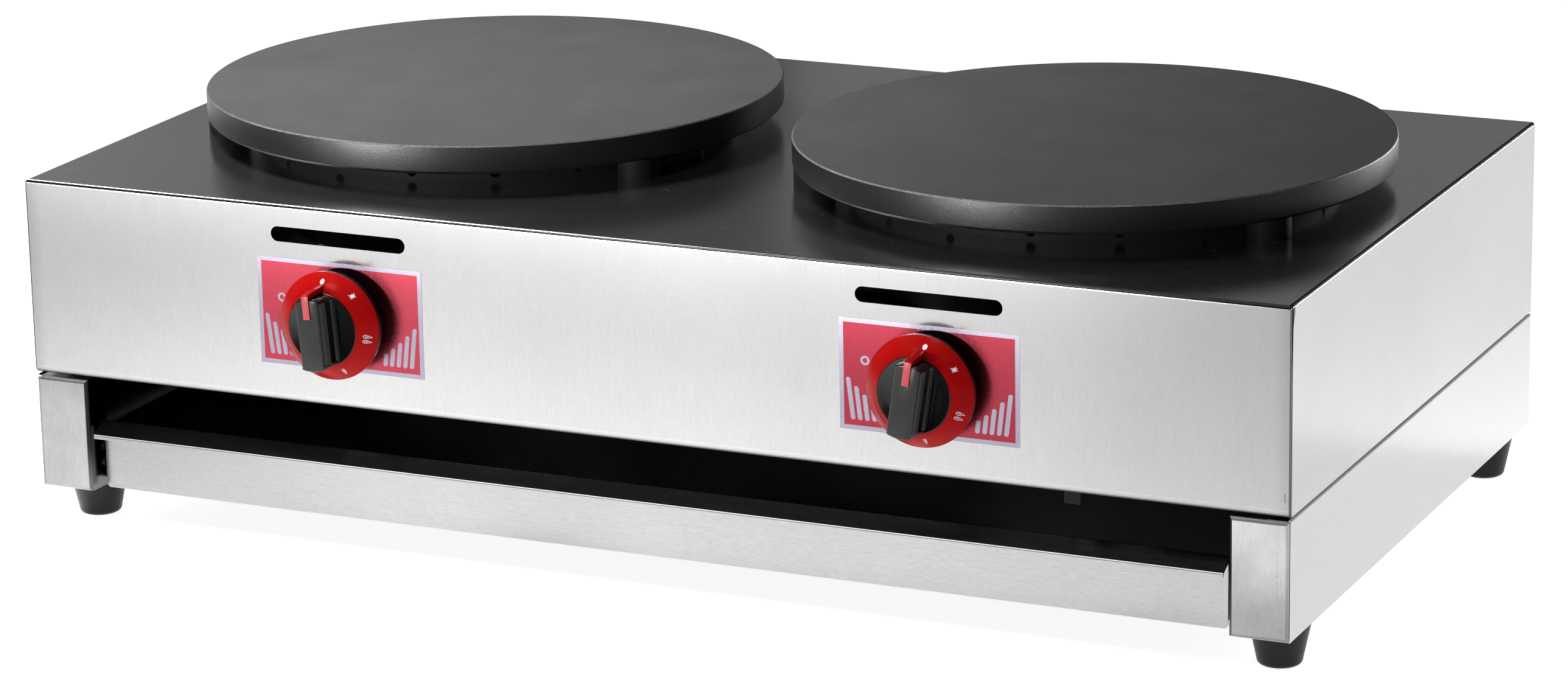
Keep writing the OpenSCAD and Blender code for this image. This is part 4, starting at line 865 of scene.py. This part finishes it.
for side, red in LABEL_REDS.items():
    low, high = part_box(side + "_dial_label")
    middle = ((low.x + high.x) / 2 / MM, (low.z + high.z) / 2 / MM)
    width, height = round((high.x - low.x) / MM, 2), round((high.z - low.z) / MM, 2)
    field_size = (width - 2 * BORDER_W, FIELD_T, height - 2 * BORDER_W)
    for piece in (
            label_sheet("_label_border", side, middle, (width, LABEL_T, height), LABEL_T / 2, LABEL_BORDER),
            label_sheet("_label_field", side, middle, field_size, FIELD_OUT, red),
            label_print(label_bars(), "_label_bars", side, middle, PRINT_OUT, LABEL_BORDER),
            label_print(label_spot(), "_label_spot", side, middle, SPOT_OUT, red, DISC_AT),
            label_print(label_word(side), "_label_off", side, middle, PRINT_OUT, LABEL_BORDER, WORD_AT)):
        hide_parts(side + "_dial_label")

# ---- Studio --------------------------------------------------------------------------------
FLOOR_REACH, FLOOR_GLOW = 14.0, 0.91
ROOM, CEILING, LEFT_WALL, RIGHT_WALL = 0.05, 0.13, 0.5, 0.6


def studio_floor():
    """A wide matt floor that glows a little, so that it reads as white."""
    bm = bmesh.new()
    bmesh.ops.create_grid(bm, x_segments=1, y_segments=1, size=FLOOR_REACH)
    mesh = bpy.data.meshes.new("studio_floor")
    bm.to_mesh(mesh)
    bm.free()
    floor = bpy.data.objects.new("studio_floor", mesh)
    bpy.context.scene.collection.objects.link(floor)
    mesh.materials.append(new_material("floor_white", Roughness=0.9, Base_Color=(0.9, 0.9, 0.9),
                                       Specular_IOR_Level=0.05, Emission_Color=(1.0, 1.0, 1.0),
                                       Emission_Strength=FLOOR_GLOW)[0])


def studio_air():
    """A dim room with a pale ceiling, a soft wall on the left and a bright one behind on the right."""
    world = bpy.data.worlds.new("studio_air")
    bpy.context.scene.world = world
    world.use_nodes = True
    b = Bench(world.node_tree)
    towards = b.put("TexCoord").outputs["Generated"]
    height = b.axes(towards)[2]

    def wall(azimuth, start, end, strength):
        a = math.radians(azimuth)
        made = b.put("VectorMath", {"operation": "DOT_PRODUCT"}, _0=towards, _1=(math.cos(a), math.sin(a), 0))
        return b.range(made.outputs["Value"], start, end, 0.0, strength, smooth=True)

    ceiling = b.range(height, 0.5, 0.85, 0.0, CEILING, smooth=True)
    left_wall = wall(150, 0.78, 1.0, LEFT_WALL)
    right_wall = b.times(wall(58, 0.86, 0.97, RIGHT_WALL), b.range(height, 0.75, 0.5, smooth=True))
    glow = b.plus(b.plus(ceiling, left_wall), b.plus(right_wall, ROOM))
    b.feed(world.node_tree.nodes["Background"].inputs["Color"], b.grey(glow))


def lamp(name, kind, place, target, power, **options):
    made = bpy.data.lights.new(name, kind)
    made.energy = power
    for option, value in options.items():
        setattr(made, option, value)
    holder = bpy.data.objects.new(name, made)
    bpy.context.scene.collection.objects.link(holder)
    holder.visible_camera = False
    holder.location = place
    holder.rotation_euler = (Vector(target) - Vector(place)).to_track_quat("-Z", "Y").to_euler()


def softbox(name, place, target, power, width, height, beam=180):
    """A rectangular lamp, its beam in degrees."""
    lamp(name, "AREA", place, target, power, shape="RECTANGLE", size=width, size_y=height,
         spread=math.radians(beam))


studio_floor()
studio_air()
lamp("floor_light", "SPOT", (0.3, -1.1, 3.5), (-0.45, 0.5, 0), 75, spot_size=math.radians(51),
     spot_blend=0.35, shadow_soft_size=0.3)
softbox("front_softbox", (-0.75, -1.5, 1.7), (-0.38, -0.66, 0), 1.9, 0.6, 0.6, beam=40)
softbox("rim_softbox", (-0.63, -1.55, 0.32), (-0.05, -0.1, 0.53), 23, 0.8, 0.16, beam=24)
softbox("right_softbox", (0.72, 1.25, 1.3), (0.5, 0.95, 0), 0.25, 0.5, 0.5, beam=56)
softbox("left_softbox", (-1.35, 0.15, 2.1), (-0.3, 0, 0.27), 6.2, 0.7, 0.7, beam=36)
softbox("side_rim_softbox", (1.05, 1.36, 0.25), (0.42, 0, 0.55), 10, 0.4, 0.04, beam=24)
softbox("back_card", (-0.55, 2.5, 0.95), (0.3, 0, 0.24), 0.34, 1.1, 0.8)

# ---- Camera --------------------------------------------------------------------------------
SENSOR_W = 36.0
FRAME_W, FOCAL_LENGTH = 2576, 8714.03       # both in pixels
AZIMUTH, ELEVATION, ROLL = math.radians(24.775), math.radians(15.962), math.radians(-1.05)
EYE = (1.46171, -3.1799, 0.86353 + TOP_Z * MM)
lens = bpy.data.cameras.new("viewpoint")
lens.sensor_fit = "HORIZONTAL"
lens.sensor_width = SENSOR_W
lens.lens = FOCAL_LENGTH / FRAME_W * SENSOR_W
lens.clip_start, lens.clip_end = 0.1, 60.0
camera = bpy.data.objects.new("viewpoint", lens)
bpy.context.scene.collection.objects.link(camera)
back = Vector((math.sin(AZIMUTH) * math.cos(ELEVATION), -math.cos(AZIMUTH) * math.cos(ELEVATION),
               math.sin(ELEVATION)))
level = Vector((0, 0, 1)).cross(back).normalized()
upward = back.cross(level)
right = level * math.cos(ROLL) + upward * math.sin(ROLL)
up = upward * math.cos(ROLL) - level * math.sin(ROLL)
camera.matrix_world = at(*EYE) @ Matrix((right, up, back)).transposed().to_4x4()
bpy.context.scene.camera = camera
bpy.context.scene.view_settings.view_transform = "Standard"
